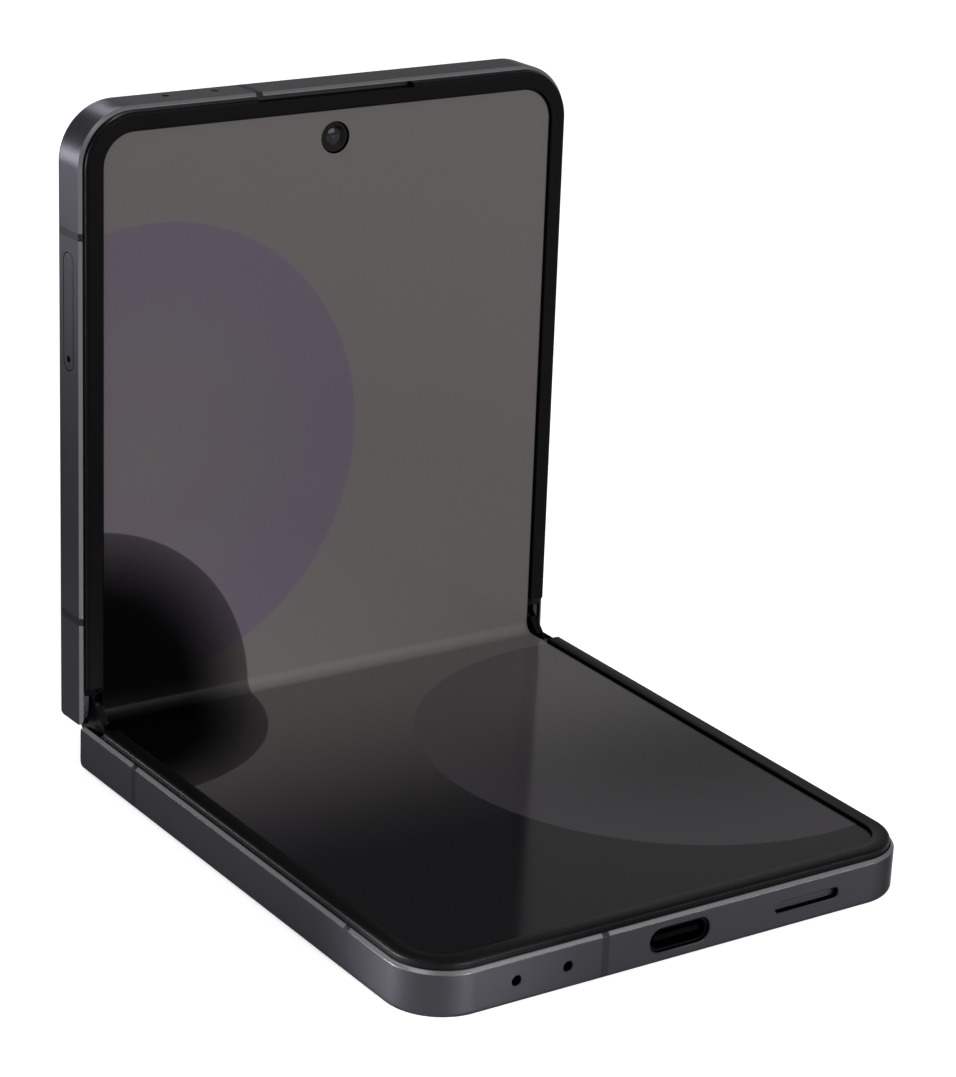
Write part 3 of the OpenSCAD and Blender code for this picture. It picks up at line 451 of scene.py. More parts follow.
GROUND_FAR = (0.008, 0.008, 0.0095)
GROUND_NEAR = (0.094, 0.085, 0.085)
GROUND_FROM = -54.0
GROUND_TO = 2.0
LAVENDER = (0.08, 0.066, 0.092)
LAVENDER_AT = (-27.0, 36.0)
LAVENDER_R = 31.0
DARK = (0.0004, 0.0004, 0.0005)
DARK_AT = (-38.0, 1.0)
DARK_R = 26.0
GLOW = (0.05, 0.045, 0.05)
GLOW_AT = (30.0, -40.0)
GLOW_R = 34.0
BORDER_BLACK = (0.0012, 0.0012, 0.0013)
CREASE_ROUGH = 0.36


def soft_disc(tree, x, s, centre, r, fade_from, fade_to):
    """1 inside a disc with a fine edge, fading with the distance from its middle."""
    away = distance_to(tree, x, s, centre)
    rim = ramp(tree, away, r + 0.2, r - 0.1)
    return math_node(tree, "MULTIPLY", rim, ramp(tree, away, fade_from, fade_to))


def paint_display():
    """Soft overlapping discs in quiet greys, on a dark ground, with a black border."""
    made = bpy.data.materials.new("display")
    made.use_nodes = True
    tree = made.node_tree
    shader = tree.nodes["Principled BSDF"]
    x, s = display_coordinates(tree)
    rise = ramp(tree, s, GROUND_FROM, GROUND_TO)
    ground = mix_colour(tree, rise, GROUND_FAR, GROUND_NEAR)
    tint = soft_disc(tree, x, s, LAVENDER_AT, LAVENDER_R, -14.0, 34.0)
    ground = mix_colour(tree, math_node(tree, "MULTIPLY", tint, 0.85), ground, LAVENDER)
    shade = soft_disc(tree, x, s, DARK_AT, DARK_R, 40.0, 16.0)
    ground = mix_colour(tree, shade, ground, DARK)
    glow = soft_disc(tree, x, s, GLOW_AT, GLOW_R, 0.0, 36.0)
    ground = mix_colour(tree, math_node(tree, "MULTIPLY", glow, 0.6), ground, GLOW)
    shown = mix_colour(tree, lit_share(tree, x, s), BORDER_BLACK, ground)
    tree.links.new(shown, shader.inputs["Base Color"])
    shader.inputs["Specular IOR Level"].default_value = 0.03
    fine = remap(tree, noise(tree, 9000, 2.0), 0.09, 0.13)
    crease = ramp(tree, math_node(tree, "ABSOLUTE", s), 6.0, 0.5)
    rough = math_node(tree, "MULTIPLY_ADD", crease, CREASE_ROUGH, fine)
    tree.links.new(rough, shader.inputs["Roughness"])
    wave = noise(tree, 60, 2.0)
    bump = node(tree, "ShaderNodeBump")
    bump.inputs["Strength"].default_value = 0.04
    bump.inputs["Distance"].default_value = 0.02 * MM
    tree.links.new(wave, bump.inputs["Height"])
    tree.links.new(bump.outputs["Normal"], shader.inputs["Normal"])
    return made


PAINT = {
    "metal_frame": material("metal_frame", (0.031, 0.03, 0.035), 0.34, metallic=1.0,
                            grain=(6000, 0.12, 0.006), vary=0.03, rough_vary=0.03, edge=0.45),
    # polished bevel metal, its base raised further as a painted highlight
    "bevel_polish_and_highlight": material("bevel_polish_and_highlight", (0.11, 0.11, 0.116), 0.3, metallic=1.0,
                            grain=(6000, 0.1, 0.004), vary=0.03, rough_vary=0.03, edge=0.6),
    # a darker copy of the frame metal: painted shade inside the openings and the hinge bay
    "metal_painted_shade": material("metal_painted_shade", (0.006, 0.006, 0.007), 0.5, metallic=1.0,
                             grain=(5000, 0.2, 0.006), edge=0.3),
    "antenna_plastic": material("antenna_plastic", (0.019, 0.019, 0.022), 0.45, metallic=0.9,
                                specular=0.1, grain=(5000, 0.2, 0.006), edge=0.4),
    "black_trim": material("black_trim", (0.0023, 0.0023, 0.0026), 0.42, specular=0.027,
                           grain=(3500, 0.25, 0.012)),
    # near-black with little gloss: black plastic, darkened further as painted shade deep in the port
    "port_black_and_shade": material("port_black_and_shade", (0.001, 0.001, 0.0011), 0.6, specular=0.01,
                           grain=(4000, 0.2, 0.01)),
    "black_steel": material("black_steel", (0.006, 0.006, 0.0065), 0.4, metallic=1.0,
                            grain=(4000, 0.2, 0.01), edge=0.3),
    "camera_black": material("camera_black", (0.004, 0.0038, 0.0036), 0.35, specular=0.06,
                             grain=(3000, 0.2, 0.01)),
    "camera_glass": material("camera_glass", (0.003, 0.0035, 0.005), 0.12, specular=0.16,
                             grain=(300, 0.03, 0.01), rough_vary=0.02),
    "display": paint_display(),
    "back_glass": material("back_glass", (0.035, 0.035, 0.041), 0.42, specular=0.45,
                           grain=(4000, 0.1, 0.006), coat=0.25, coat_rough=0.3),
    "cover_display": material("cover_display", (0.002, 0.002, 0.0025), 0.1, specular=0.16,
                              grain=(300, 0.03, 0.01), rough_vary=0.02),
    "bare_steel": material("bare_steel", (0.5, 0.5, 0.52), 0.32, metallic=1.0,
                           grain=(4000, 0.2, 0.01), stretch=(1, 8, 8)),
    "board": material("board", (0.01, 0.05, 0.03), 0.4, grain=(2500, 0.3, 0.02)),
    "copper": material("copper", (0.6, 0.28, 0.14), 0.35, metallic=1.0,
                       grain=(2500, 0.15, 0.01)),
    "cell_foil": material("cell_foil", (0.02, 0.02, 0.022), 0.4, metallic=0.4,
                          grain=(900, 0.3, 0.04)),
    "module_black": material("module_black", (0.012, 0.012, 0.013), 0.5,
                             grain=(3000, 0.3, 0.02)),
    "lens_glass": material("lens_glass", (0.003, 0.003, 0.005), 0.06, specular=0.15,
                           grain=(200, 0.02, 0.01), rough_vary=0.01),
    "flash_window": material("flash_window", (0.62, 0.58, 0.46), 0.25,
                             grain=(1200, 0.6, 0.06)),
    "seal_rubber": material("seal_rubber", (0.012, 0.012, 0.012), 0.65, specular=0.3,
                            grain=(2500, 0.4, 0.02)),
    "mesh_cloth": material("mesh_cloth", (0.006, 0.006, 0.007), 0.6, specular=0.25,
                           grain=(6000, 0.8, 0.05)),
}


# the USB tongue gets the port's black: its plastic darkened as painted shade
OWN_PAINT = {"speaker_mesh": "mesh_cloth", "earpiece_mesh": "mesh_cloth",
             "usb_c_tongue": "port_black_and_shade"}


def dress_nodes():
    """Better materials for the CAD nodes that stay."""
    slots = {s["node"]: s["material_slot"] for s in frame["record"]["subparts"]}
    for name, obj in frame["nodes"].items():
        obj.data.materials.clear()
        obj.data.materials.append(PAINT[OWN_PAINT.get(name, slots[name])])


dress_nodes()


# ---- one half's outer form ----
def edge_profile():
    """Up the edge of a half: (height, set in from the side)."""
    profile = []
    for i in range(9):
        t = math.radians(90 * i / 8)
        profile.append((BACK_ROUND * (1 - math.cos(t)), BACK_ROUND * (1 - math.sin(t))))
    low, high = FRAME_H - BEVEL, FRAME_H
    profile += [(z, 0) for z in (0.75, 0.9, 1.1, BACK_END_ROUND, FRAME_H - 1.6)]
    profile += [(FRAME_H - END_ROUND, 0), (low - 0.04, 0), (low, 0.012), (low + 0.04, 0.052)]
    profile += [(high - 0.03, BEVEL - 0.035), (high, BEVEL + 0.02)]
    return sorted(profile)


def fold_start(z):
    """Where a half begins beside the fold, at height z: its two edges are rounded."""
    for gap, r in ((z, BACK_END_ROUND), (FRAME_H - z, END_ROUND)):
        if gap < r:
            return START + r - math.sqrt(r ** 2 - (r - gap) ** 2)
    return START


def half_block(name):
    """One half's whole outer form."""
    profile = edge_profile()
    heights = sorted(set([p[0] for p in profile] + [FRAME_H - 0.02, FRAME_H - 0.1,
                     FRAME_H - 0.3, FRAME_H - 0.5]))
    heights_known = [p[0] for p in profile]
    insets = [p[1] for p in profile]
    rings = []
    for z in heights:
        t = float(np.interp(z, heights_known, insets))
        flat = tongue(SIDE_X - t, fold_start(z), HALF_LEN - t, CORNER_R - t, 28)
        rings.append([(x, y, z) for x, y in flat])
    return solid_of_rings(name, rings)


def bezel_room():
    return prism(tongue(SIDE_X - BEZEL_INSET, -1, HALF_LEN - BEZEL_INSET,
                        CORNER_R - BEZEL_INSET, 28), DECK_TOP, FRAME_H + 2)


def bay_outline():
    """Section of the hinge bay: open above, its floor rolls round the spine."""
    r = SPINE_R + SPINE_GAP
    low = AXIS_Z - r
    points = [(-1, FRAME_H + 1), (-1, low), (AXIS_HALF, low)]
    points += arc(AXIS_HALF, AXIS_Z, r, -90, -14, 16)[1:]
    points += [(BAY_END, AXIS_Z - 1), (BAY_END, FRAME_H + 1)]
    return points


BREAKS_Y = (14.6, HALF_LEN - 16.15)
END_BREAK_X = -11.1


def break_slabs(grow):
    slabs = []
    half = BREAK_W / 2 + grow
    for y in BREAKS_Y:
        for s in (-1, 1):
            slabs.append(box((s * (SIDE_X - BREAK_DEPTH), y - half, -1),
                             (s * (SIDE_X + 1), y + half, FRAME_H + 1)))
    slabs.append(box((END_BREAK_X - half, HALF_LEN - BREAK_DEPTH, -1),
                     (END_BREAK_X + half, HALF_LEN + 1, FRAME_H + 1)))
    return slabs


def half_frame(name, tools):
    """Metal frame of one half, with its own ports cut by tools."""
    obj = half_block(name)
    inner = tongue(SIDE_X - WALL, BAR_END, HALF_LEN - WALL, CORNER_R - WALL)
    seat = tongue(SIDE_X - GLASS_INSET, BAR_END, HALF_LEN - GLASS_INSET, CORNER_R - GLASS_INSET)
    wide = SIDE_X - BAY_WALL
    cuts = [bezel_room(), prism(inner, GLASS_T - 0.01, DECK_LOW), prism(seat, -1, GLASS_T),
            along_x(bay_outline(), -wide, wide)]
    cut(obj, cuts + break_slabs(0) + tools)
    return smooth(obj, 28)


def polish_and_highlight_bevel(obj):
    """The narrow bevel on the display side gets a brighter finish: a polished chamfer, made brighter still as a
    painted highlight.
    """
    for poly in obj.data.polygons:
        z = poly.center.z
        steep = 0.3 < poly.normal.z < 0.95
        if FRAME_H - BEVEL - 0.02 < z < FRAME_H and steep:
            poly.material_index = 1
    return obj


def paint_shade_in_openings(obj):
    """The walls of the openings in the rim, and the faces of the hinge bay, get a darker copy of the metal:
    painted shade in these recesses.
    """
    for poly in obj.data.polygons:
        c, n = poly.center, poly.normal
        in_bay = c.y < BAY_END + 0.05 and abs(c.x) < SIDE_X - BEZEL_INSET + 0.1 and c.z > 0.75
        if in_bay and c.z < FRAME_H - 0.1:
            poly.material_index = 2
        if not 1 < c.z < DECK_LOW - 0.1:
            continue
        in_end = HALF_LEN - WALL < c.y < HALF_LEN - 0.11 and abs(n.y) < 0.3
        in_side = SIDE_X - WALL < abs(c.x) < SIDE_X - 0.07 and abs(n.x) < 0.3
        if (in_end and abs(c.x) < SIDE_X - CORNER_R) or (in_side and c.y < HALF_LEN - CORNER_R):
            poly.material_index = 2
    return obj


def half_breaks(name, tools):
    """The plastic breaks in the metal, flush with it."""
    pieces = []
    for index, slab in enumerate(break_slabs(-0.012)):
        part = half_block(name + str(index))
        combine(part, [slab], "INTERSECT")
        cut(part, [bezel_room()])
        pieces.append(part)
    obj = joined(name, pieces)
    if tools:
        cut(obj, tools)
    return smooth(obj, 28)


def joined(name, pieces):
    """One object of several."""
    points = []
    faces = []
    for piece in pieces:
        base = len(points)
        points += [tuple(v.co) for v in piece.data.vertices]
        faces += [tuple(base + i for i in p.vertices) for p in piece.data.polygons]
        bpy.data.objects.remove(piece)
    return mesh_object(name, points, faces)


def bezel_section():
    """Closed section of the bezel: (inset, height), from the outer foot round to the inner."""
    top = BEZEL_TOP
    rim = BORDER - DARK_LINE
    low = DISPLAY_Z + 0.05
    section = [(BEZEL_INSET + 0.004, DECK_TOP), (BEZEL_INSET + 0.004, top - 0.45)]
    section += [(BEZEL_INSET + 0.45 * (1 - math.cos(math.radians(a))),
                 top - 0.45 + 0.45 * math.sin(math.radians(a))) for a in (15, 30, 45, 60, 75, 90)]
    section += [(rim - 0.14, top), (rim - 0.05, top - 0.03), (rim, top - 0.12)]
    section += [(rim, low), (BEZEL_INSET + 1.3, low), (BEZEL_INSET + 1.3, DECK_TOP)]
    return section


def bezel_toes():
    """The low sloping ends of the bezel that cover the hinge arms."""
    reach = AXIS_HALF + 1.9
    low = DECK_TOP + 0.05
    slope = [(reach, low), (reach, low + 0.1), (reach + 0.06, low + 0.19),
             (BEZEL_START - 0.03, DISPLAY_Z - 0.03), (BEZEL_START + 0.1, DISPLAY_Z - 0.01),
             (BEZEL_START + 0.1, low)]
    inner = SIDE_X - BORDER + DARK_LINE + 0.05
    outer = SIDE_X - BEZEL_INSET - 0.01
    return [along_x(slope, s * inner, s * outer) for s in (-1, 1)]


def half_bezel(name, tools):
    """The bezel, swept round a half and closed at its two ends by the fold."""
    path_steps = 28
    rings = []
    for inset, z in bezel_section():
        flat = tongue(SIDE_X - inset, BEZEL_START, HALF_LEN - inset, CORNER_R - inset, path_steps)
        rings.append([(x, y, z) for x, y in flat])
    count = len(rings[0])
    points = [p for ring in rings for p in ring]
    faces = []
    total = len(rings)
    for r in range(total):
        n = (r + 1) % total
        for i in range(count - 1):
            faces.append((r * count + i, r * count + i + 1, n * count + i + 1, n * count + i))
    faces.append(tuple(r * count for r in range(total)))
    faces.append(tuple(r * count + count - 1 for r in range(total)))
    obj = outward(mesh_object(name, points, faces))
    combine(obj, bezel_toes(), "UNION")
    if tools:
        cut(obj, tools)
    return smooth(obj, 28)


# ---- display ----
FOLD_HALF = 4.6
FOLD_T = 0.35
PANEL_INSET = BORDER - 0.9


def add_display_uv(obj, sign):
    """The display's own map: across, and along it from the lower end to the upper."""
    layer = obj.data.uv_layers.new(name="display")
    for loop in obj.data.loops:
        co = obj.data.vertices[loop.vertex_index].co
        layer.data[loop.index].uv = ((co.x + SIDE_X) / (2 * SIDE_X),
                                     (sign * co.y + HALF_LEN) / (2 * HALF_LEN))


def display_panel(name, sign, tools):
    outline = tongue(SIDE_X - PANEL_INSET, FOLD_HALF, HALF_LEN - PANEL_INSET,
                     CORNER_R - PANEL_INSET)
    obj = prism(outline, DISPLAY_Z - 0.7, DISPLAY_Z)
    obj.name = name
    if tools:
        cut(obj, tools)
    smooth(obj)
    add_display_uv(obj, sign)
    return obj


BEND_R = 1.6
PANEL_RISE = DISPLAY_Z - AXIS_Z


def fold_point(s, depth):
    """Point of the display in the spine frame at rest: a round bend, then straight."""
    tangent_y = BEND_R * math.sin(HALF_TURN)
    flat_y = AXIS_HALF - PANEL_RISE * math.sin(HALF_TURN)
    straight_from = AXIS_HALF + (tangent_y - flat_y) / math.cos(HALF_TURN)
    turn = HALF_TURN * min(1.0, s / straight_from)
    level = PANEL_RISE / math.cos(HALF_TURN) - AXIS_HALF * math.tan(HALF_TURN)
    centre_z = level + BEND_R / math.cos(HALF_TURN)
    r = BEND_R + depth
    point = [r * math.sin(turn), centre_z - r * math.cos(turn)]
    if s > straight_from:
        point[0] += (s - straight_from) * math.cos(HALF_TURN)
        point[1] += (s - straight_from) * math.sin(HALF_TURN)
    return point


def display_fold(name, side):
    """Half of the bending part of the display, in the spine frame."""
    width = SIDE_X - PANEL_INSET - 0.7
    steps = 48
    rows = [FOLD_HALF * i / steps for i in range(steps + 1)]
    across = [-width, -LIT_X, -LIT_X / 2, 0.0, LIT_X / 2, LIT_X, width]
    points = []
    marks = []
    for depth in (0.0, FOLD_T):
        for s in rows:
            y, z = fold_point(s, depth)
            for x in across:
                points.append((x, side * y, z))
                marks.append((x, side * s))
    w = len(across)
    n = len(rows)
    faces = []
    for k in range(n - 1):
        for i in range(w - 1):
            a = k * w + i
            faces.append((a, a + 1, a + w + 1, a + w))
            b = n * w + a
            faces.append((b, b + w, b + w + 1, b + 1))
    for k in range(n - 1):
        for i in (0, w - 1):
            a = k * w + i
            faces.append((a, a + w, n * w + a + w, n * w + a))
    for k in (0, n - 1):
        for i in range(w - 1):
            a = k * w + i
            faces.append((a, a + 1, n * w + a + 1, n * w + a))
    obj = outward(mesh_object(name, points, faces))
    layer = obj.data.uv_layers.new(name="display")
    for loop in obj.data.loops:
        x, s = marks[loop.vertex_index]
        layer.data[loop.index].uv = ((x + SIDE_X) / (2 * SIDE_X),
                                     (s + HALF_LEN) / (2 * HALF_LEN))
    for poly in obj.data.polygons:
        poly.use_smooth = True
    obj.data.set_sharp_from_angle(angle=math.radians(50))
    return obj


def make_display():
    punch = flared(disc(2 * PUNCH_R), [(0, 0), (20, 0)], "z", (0, PUNCH_Y))
    riding(display_panel("display_lower_pane", -1, []), "lower_half", "display", "display_lower")
    riding(display_panel("display_upper_pane", 1, [punch]), "upper_half", "display",
           "display_upper")
    low = display_fold("display_fold_lower", -1)
    high = display_fold("display_fold_upper", 1)
    for obj in (low, high):
        place(obj, "hinge_spine", "display", "display_fold")
    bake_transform(high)
    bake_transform(low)


# ---- lower half ----
USB = (8.94, 3.2)
SPEAKER = (19.4, 9.9, 1.4)
LOWER_MICS = (-23.7, -16.4)
MIC_D = 1.3


def lower_ports():
    """Tools for the openings in the charging end."""
    end = HALF_LEN
    low = end - WALL - 1
    tools = [flared(pill(USB[0], USB[1]), [(low, 0), (end - 0.16, 0), (end + 0.05, 0.21)], "y",
                    (0, PORT_Z)),
             flared(pill(SPEAKER[1], SPEAKER[2]), [(low, 0), (end - 0.12, 0), (end + 0.05, 0.17)],
                    "y", (SPEAKER[0], PORT_Z))]
    for x in LOWER_MICS:
        tools.append(flared(disc(MIC_D), [(low, 0), (end - 0.1, 0), (end + 0.05, 0.15)], "y",
                            (x, PORT_Z)))
    return tools


# the frame's metal, its bevel (polished, with a painted highlight) and its openings (painted shade)
FRAME_PAINTS = ("metal_frame", "bevel_polish_and_highlight", "metal_painted_shade")


def make_lower():
    shell = paint_shade_in_openings(polish_and_highlight_bevel(half_frame("lower_frame_metal", lower_ports())))
    riding(shell, "lower_half", "metal_frame", "lower_frame", paints=FRAME_PAINTS)
    riding(half_breaks("lower_breaks", []), "lower_half", "antenna_plastic",
           "lower_antenna_breaks")
    riding(half_bezel("lower_bezel_ring", []), "lower_half", "black_trim", "lower_bezel")
    riding(smooth(back_cover("lower_back_glass")), "lower_half", "back_glass",
           "lower_back_cover")


GLASS_GAP = 0.05
GLASS_ROUND = 0.25


def back_cover(name):
    """A glass pane whose outer edge is rounded."""
    gap = GLASS_INSET + GLASS_GAP
    sections = []
    for i in range(5, -1, -1):
        t = math.radians(90 * i / 5)
        sections.append((GLASS_ROUND * (1 - math.sin(t)), GLASS_ROUND * (1 - math.cos(t))))
    rings = []
    for z, inset in sections + [(GLASS_T, 0)]:
        flat = tongue(SIDE_X - gap - inset, BAR_END + GLASS_GAP + inset,
                      HALF_LEN - gap - inset, CORNER_R - gap - inset)
        rings.append([(x, y, z) for x, y in flat])
    return solid_of_rings(name, rings)


# ---- upper half ----
TOP_MICS = (-22.9, -15.7)
TOP_MIC_D = 0.9
SIDE_KEY = (32.0, 13.0)
VOLUME_KEY = (53.0, 20.0)
TRAY = (55.8, 15.4)
KEY_H = 2.0
TRAY_H = 2.5
KEY_GAP = 0.12
EARPIECE = (11.8, 0.55, 0.15)


def earpiece_slot():
    half, inside, outside = EARPIECE
    edge = HALF_LEN - BEZEL_INSET
    return box((-half, edge - inside, DECK_TOP - 1.2), (half, edge + outside, BEZEL_TOP + 1))


def side_flare(side, y, l, h, rim):
    """Tool for a slot in a side wall, with a small chamfer at the outside."""
    sections = [(side * (SIDE_X - WALL - 1), KEY_GAP), (side * (SIDE_X - rim), KEY_GAP),
                (side * (SIDE_X + 0.05), KEY_GAP + rim + 0.05)]
    return flared(pill(l, h), sections, "x", (y, KEY_Z))


def upper_ports():
    end = HALF_LEN
    tools = [earpiece_slot()]
    for x in TOP_MICS:
        tools.append(flared(disc(TOP_MIC_D), [(end - 3, 0), (end - 0.08, 0), (end + 0.05, 0.13)],
                            "y", (x, KEY_Z - 0.5)))
    tools.append(side_flare(1, SIDE_KEY[0], SIDE_KEY[1], KEY_H, 0.06))
    tools.append(side_flare(1, VOLUME_KEY[0], VOLUME_KEY[1], KEY_H, 0.06))
    tools.append(side_flare(-1, TRAY[0], TRAY[1], TRAY_H, 0.04))
    tools.append(flared(disc(2 * PUNCH_R + 0.4), [(DECK_LOW - 1, 0), (FRAME_H + 1, 0)], "z",
                        (0, PUNCH_Y)))
    return tools


KEY_RISE = 0.3
KEY_BACK = SIDE_X - WALL - 0.9
TRAY_DEPTH = 13.0
TRAY_T = 1.0
TRAY_FRONT = 1.6


def key(name, y, l):
    """A key: a cap with a softly rounded face, its neck and the flange behind the wall."""
    face = SIDE_X + KEY_RISE
    r = 0.16
    sections = [(KEY_BACK + 0.8, 0)]
    for i in range(6):
        t = math.radians(90 * i / 5)
        sections.append((face - r + r * math.sin(t), -r * (1 - math.cos(t))))
    cap = flared(pill(l, KEY_H, 14), sections, "x", (y, KEY_Z))
    neck = flared(pill(l - 2, KEY_H - 0.4), [(KEY_BACK + 0.5, 0), (KEY_BACK + 0.79, 0)], "x",
                  (y, KEY_Z))
    flange = flared(pill(l + 1, KEY_H + 0.8), [(KEY_BACK + 0.3, 0), (KEY_BACK + 0.6, 0)], "x",
                    (y, KEY_Z))
    return smooth(joined(name, [cap, neck, flange]), 35)


def tray(name):
    """Card tray: rounded front with its pin hole, and the carrier with the card window."""
    y, l = TRAY
    front = flared(pill(l, TRAY_H, 14),
                   [(-SIDE_X + TRAY_FRONT, 0), (-SIDE_X + 0.06, 0), (-SIDE_X + 0.02, -0.018),
                    (-SIDE_X, -0.06)], "x", (y, KEY_Z))
    hole = flared(disc(0.9, 24), [(-SIDE_X + 2, 0), (-SIDE_X + 0.06, 0), (-SIDE_X - 0.05, 0.11)],
                  "x", (y - l / 2 + 1.45, KEY_Z))
    cut(front, [hole])
    plate = box((-SIDE_X + TRAY_FRONT - 0.01, y - l / 2 + 0.9, KEY_Z - TRAY_T / 2),
                (-SIDE_X + TRAY_DEPTH, y + l / 2 - 0.9, KEY_Z + TRAY_T / 2))
    window = box((-SIDE_X + 3, y - 6.2, KEY_Z - 0.1), (-SIDE_X + TRAY_DEPTH - 1, y + 6.2, 9))
    cut(plate, [window])
    return smooth(joined(name, [front, plate]), 30)


RING_R = 6.3
RING_RISE = 1.1
LENS_R = 4.75


def camera_ring(name, x):
    """Metal ring round a camera, with a rounded outer edge and a step inside."""
    top = -RING_RISE
    profile = [(RING_R, -0.01), (RING_R, top + 0.36), (RING_R - 0.03, top + 0.3)]
    profile += [(RING_R - 0.31, top + 0.04), (RING_R - 0.39, top), (LENS_R + 0.16, top)]
    profile += [(LENS_R + 0.07, top + 0.03), (LENS_R + 0.05, top + 0.12), (LENS_R + 0.05, 1.0)]
    profile += [(RING_R - 0.85, 1.0), (RING_R - 0.85, -0.01)]
    return lathe(name, profile, (x, CAMERA_Y), 96)


DOME_R = 3.2
DOME_TURN = 40
DOME_EDGE = 0.698
DOME_SHARE = 0.3


def camera_lens(name, x):
    """Camera glass: a flat printed rim, stepped rings going in and a domed lens."""
    top = -RING_RISE + 0.15
    profile = [(0.0, top + 0.5), (LENS_R, top + 0.5), (LENS_R, top + 0.03), (LENS_R - 0.04, top)]
    profile += [(3.5, top), (3.42, top + 0.06), (3.0, top + 0.08), (2.94, top + 0.16)]
    profile += [(2.5, top + 0.19), (2.42, top + 0.28), (2.1, top + 0.3)]
    for i in range(9):
        t = math.radians(DOME_TURN * (1 - i / 8))
        rise = DOME_R * (math.cos(t) - math.cos(DOME_EDGE)) * DOME_SHARE
        profile.append((DOME_R * math.sin(t), top + 0.3 - rise))
    profile[-1] = (0.0, profile[-1][1])
    return lathe(name, profile, (x, CAMERA_Y), 96)


FRONT_TOP = DISPLAY_Z - 0.25


def front_camera(name):
    """Front camera: body, barrel and a stepped mouth."""
    top = FRONT_TOP
    low = 1.6
    profile = [(0.0, low), (3.1, low), (3.1, 4.8), (1.97, 4.8), (1.97, top - 0.04), (1.93, top)]
    profile += [(1.62, top), (1.56, top - 0.05), (1.16, top - 0.3), (0.0, top - 0.3)]
    return lathe(name, profile, (0, PUNCH_Y), 64)


def front_glass(name):
    """The small domed lens in the front camera's mouth."""
    profile = [(0.0, FRONT_TOP - 0.31), (1.12, FRONT_TOP - 0.31)]
    for i in range(7):
        t = math.radians(50 * (1 - i / 6))
        profile.append((1.45 * math.sin(t), FRONT_TOP - 0.3 + 0.5 * (math.cos(t) - 0.643)))
    profile[-1] = (0.0, profile[-1][1])
    return lathe(name, profile, (0, PUNCH_Y), 64)


FLASH_X = CAMERA_X - 1.72 * CAMERA_PITCH
FLASH_R = 1.8


def cover_window_outline():
    y1 = CAMERA_Y - RING_R
    middle = (BAR_END + y1) / 2
    flat = round_rect(2 * (SIDE_X - WALL) - 1.2, y1 - BAR_END - 3, 3, 12)
    return [(x, y + middle) for x, y in flat]


def shrunk(outline, by):
    """The outline of a window drawn in by a small amount, about its own middle."""
    cx = sum(p[0] for p in outline) / len(outline)
    cy = sum(p[1] for p in outline) / len(outline)
    wide = max(p[0] for p in outline) - cx
    tall = max(p[1] for p in outline) - cy
    return [(cx + (x - cx) * (1 - by / wide), cy + (y - cy) * (1 - by / tall)) for x, y in outline]


def make_outside():
    """The upper half's outer glass, cover display, cameras and flash."""
    glass = back_cover("cover_glass_pane")
    window = cover_window_outline()
    holes = [prism(window, -1, GLASS_T + 1),
             flared(disc(2 * FLASH_R + 0.1), [(-1, 0), (2, 0)], "z", (FLASH_X, CAMERA_Y))]
    for x in (CAMERA_X, CAMERA_X - CAMERA_PITCH):
        holes.append(flared(disc(2 * RING_R - 1.6, 64), [(-1, 0), (2, 0)], "z", (x, CAMERA_Y)))
    cut(glass, holes)
    riding(smooth(glass), "upper_half", "back_glass", "cover_glass")
    rings = []
    for z, by in ((GLASS_T + 0.6, 0.02), (0.04, 0.02), (0.012, 0.03), (0.0, 0.06)):
        rings.append([(x, y, z) for x, y in shrunk(window, by)])
    pane = smooth(solid_of_rings("cover_display_window", rings))
    riding(pane, "upper_half", "cover_display", "cover_display")
    flash = lathe("flash_window", [(0.0, 1.35), (FLASH_R, 1.35), (FLASH_R, 0.05),
                                   (FLASH_R - 0.05, 0.01), (1.2, 0.0), (1.15, 0.08),
                                   (0.6, 0.1), (0.55, 0.04), (0.0, 0.02)],
                  (FLASH_X, CAMERA_Y), 48)
    riding(smooth(flash), "upper_half", "flash_window", "flash_lens")
    for tag, x in (("a", CAMERA_X), ("b", CAMERA_X - CAMERA_PITCH)):
        riding(smooth(camera_ring("camera_ring_" + tag, x)), "upper_half", "metal_frame",
               "camera_rings")
        riding(smooth(camera_lens("camera_lens_" + tag, x)), "upper_half", "lens_glass",
               "camera_lenses")
    riding(smooth(front_camera("front_camera_barrel")), "upper_half", "module_black",
           "front_camera", paints=("camera_black",))
    riding(smooth(front_glass("front_camera_glass")), "upper_half", "module_black",
           "front_camera", paints=("camera_glass",))


def make_controls():
    riding(key("side_key_cap", *SIDE_KEY), "side_key", "metal_frame", "side_key")
    riding(key("volume_key_cap", *VOLUME_KEY), "volume_key", "metal_frame", "volume_key")
    riding(tray("card_tray_metal"), "card_tray", "metal_frame", "card_tray")


def make_upper():
    shell = paint_shade_in_openings(polish_and_highlight_bevel(half_frame("upper_frame_metal", upper_ports())))
    riding(shell, "upper_half", "metal_frame", "upper_frame", paints=FRAME_PAINTS)
    riding(half_breaks("upper_breaks", [earpiece_slot()]), "upper_half", "antenna_plastic",
           "upper_antenna_breaks")
    riding(half_bezel("upper_bezel_ring", [earpiece_slot()]), "upper_half", "black_trim",
           "upper_bezel")


# ---- hinge ----
SPINE_WALL = 0.6
SHELL_EDGE = 25
CAP_PLATE = 0.25
CAP_OUT = SIDE_X - BAY_WALL - 0.3
GEAR_IN = SIDE_X - WALL - 0.78
CAP_R = 1.8
ROOF_HALF = 1.35


def shell_section(out_r, in_r):
    """Section of the spine's shell: (y, z) round its outside and back along the inside."""
    a = AXIS_HALF
    edge = -SPINE_R * math.sin(math.radians(SHELL_EDGE))
    points = []
    for r, way in ((out_r, 1), (in_r, -1)):
        turn = math.degrees(math.asin(-edge / r))
        part = arc(a, 0, r, -turn, -90, 24) + arc(-a, 0, r, -90, -180 + turn, 24)
        points += part[::way]
    return points


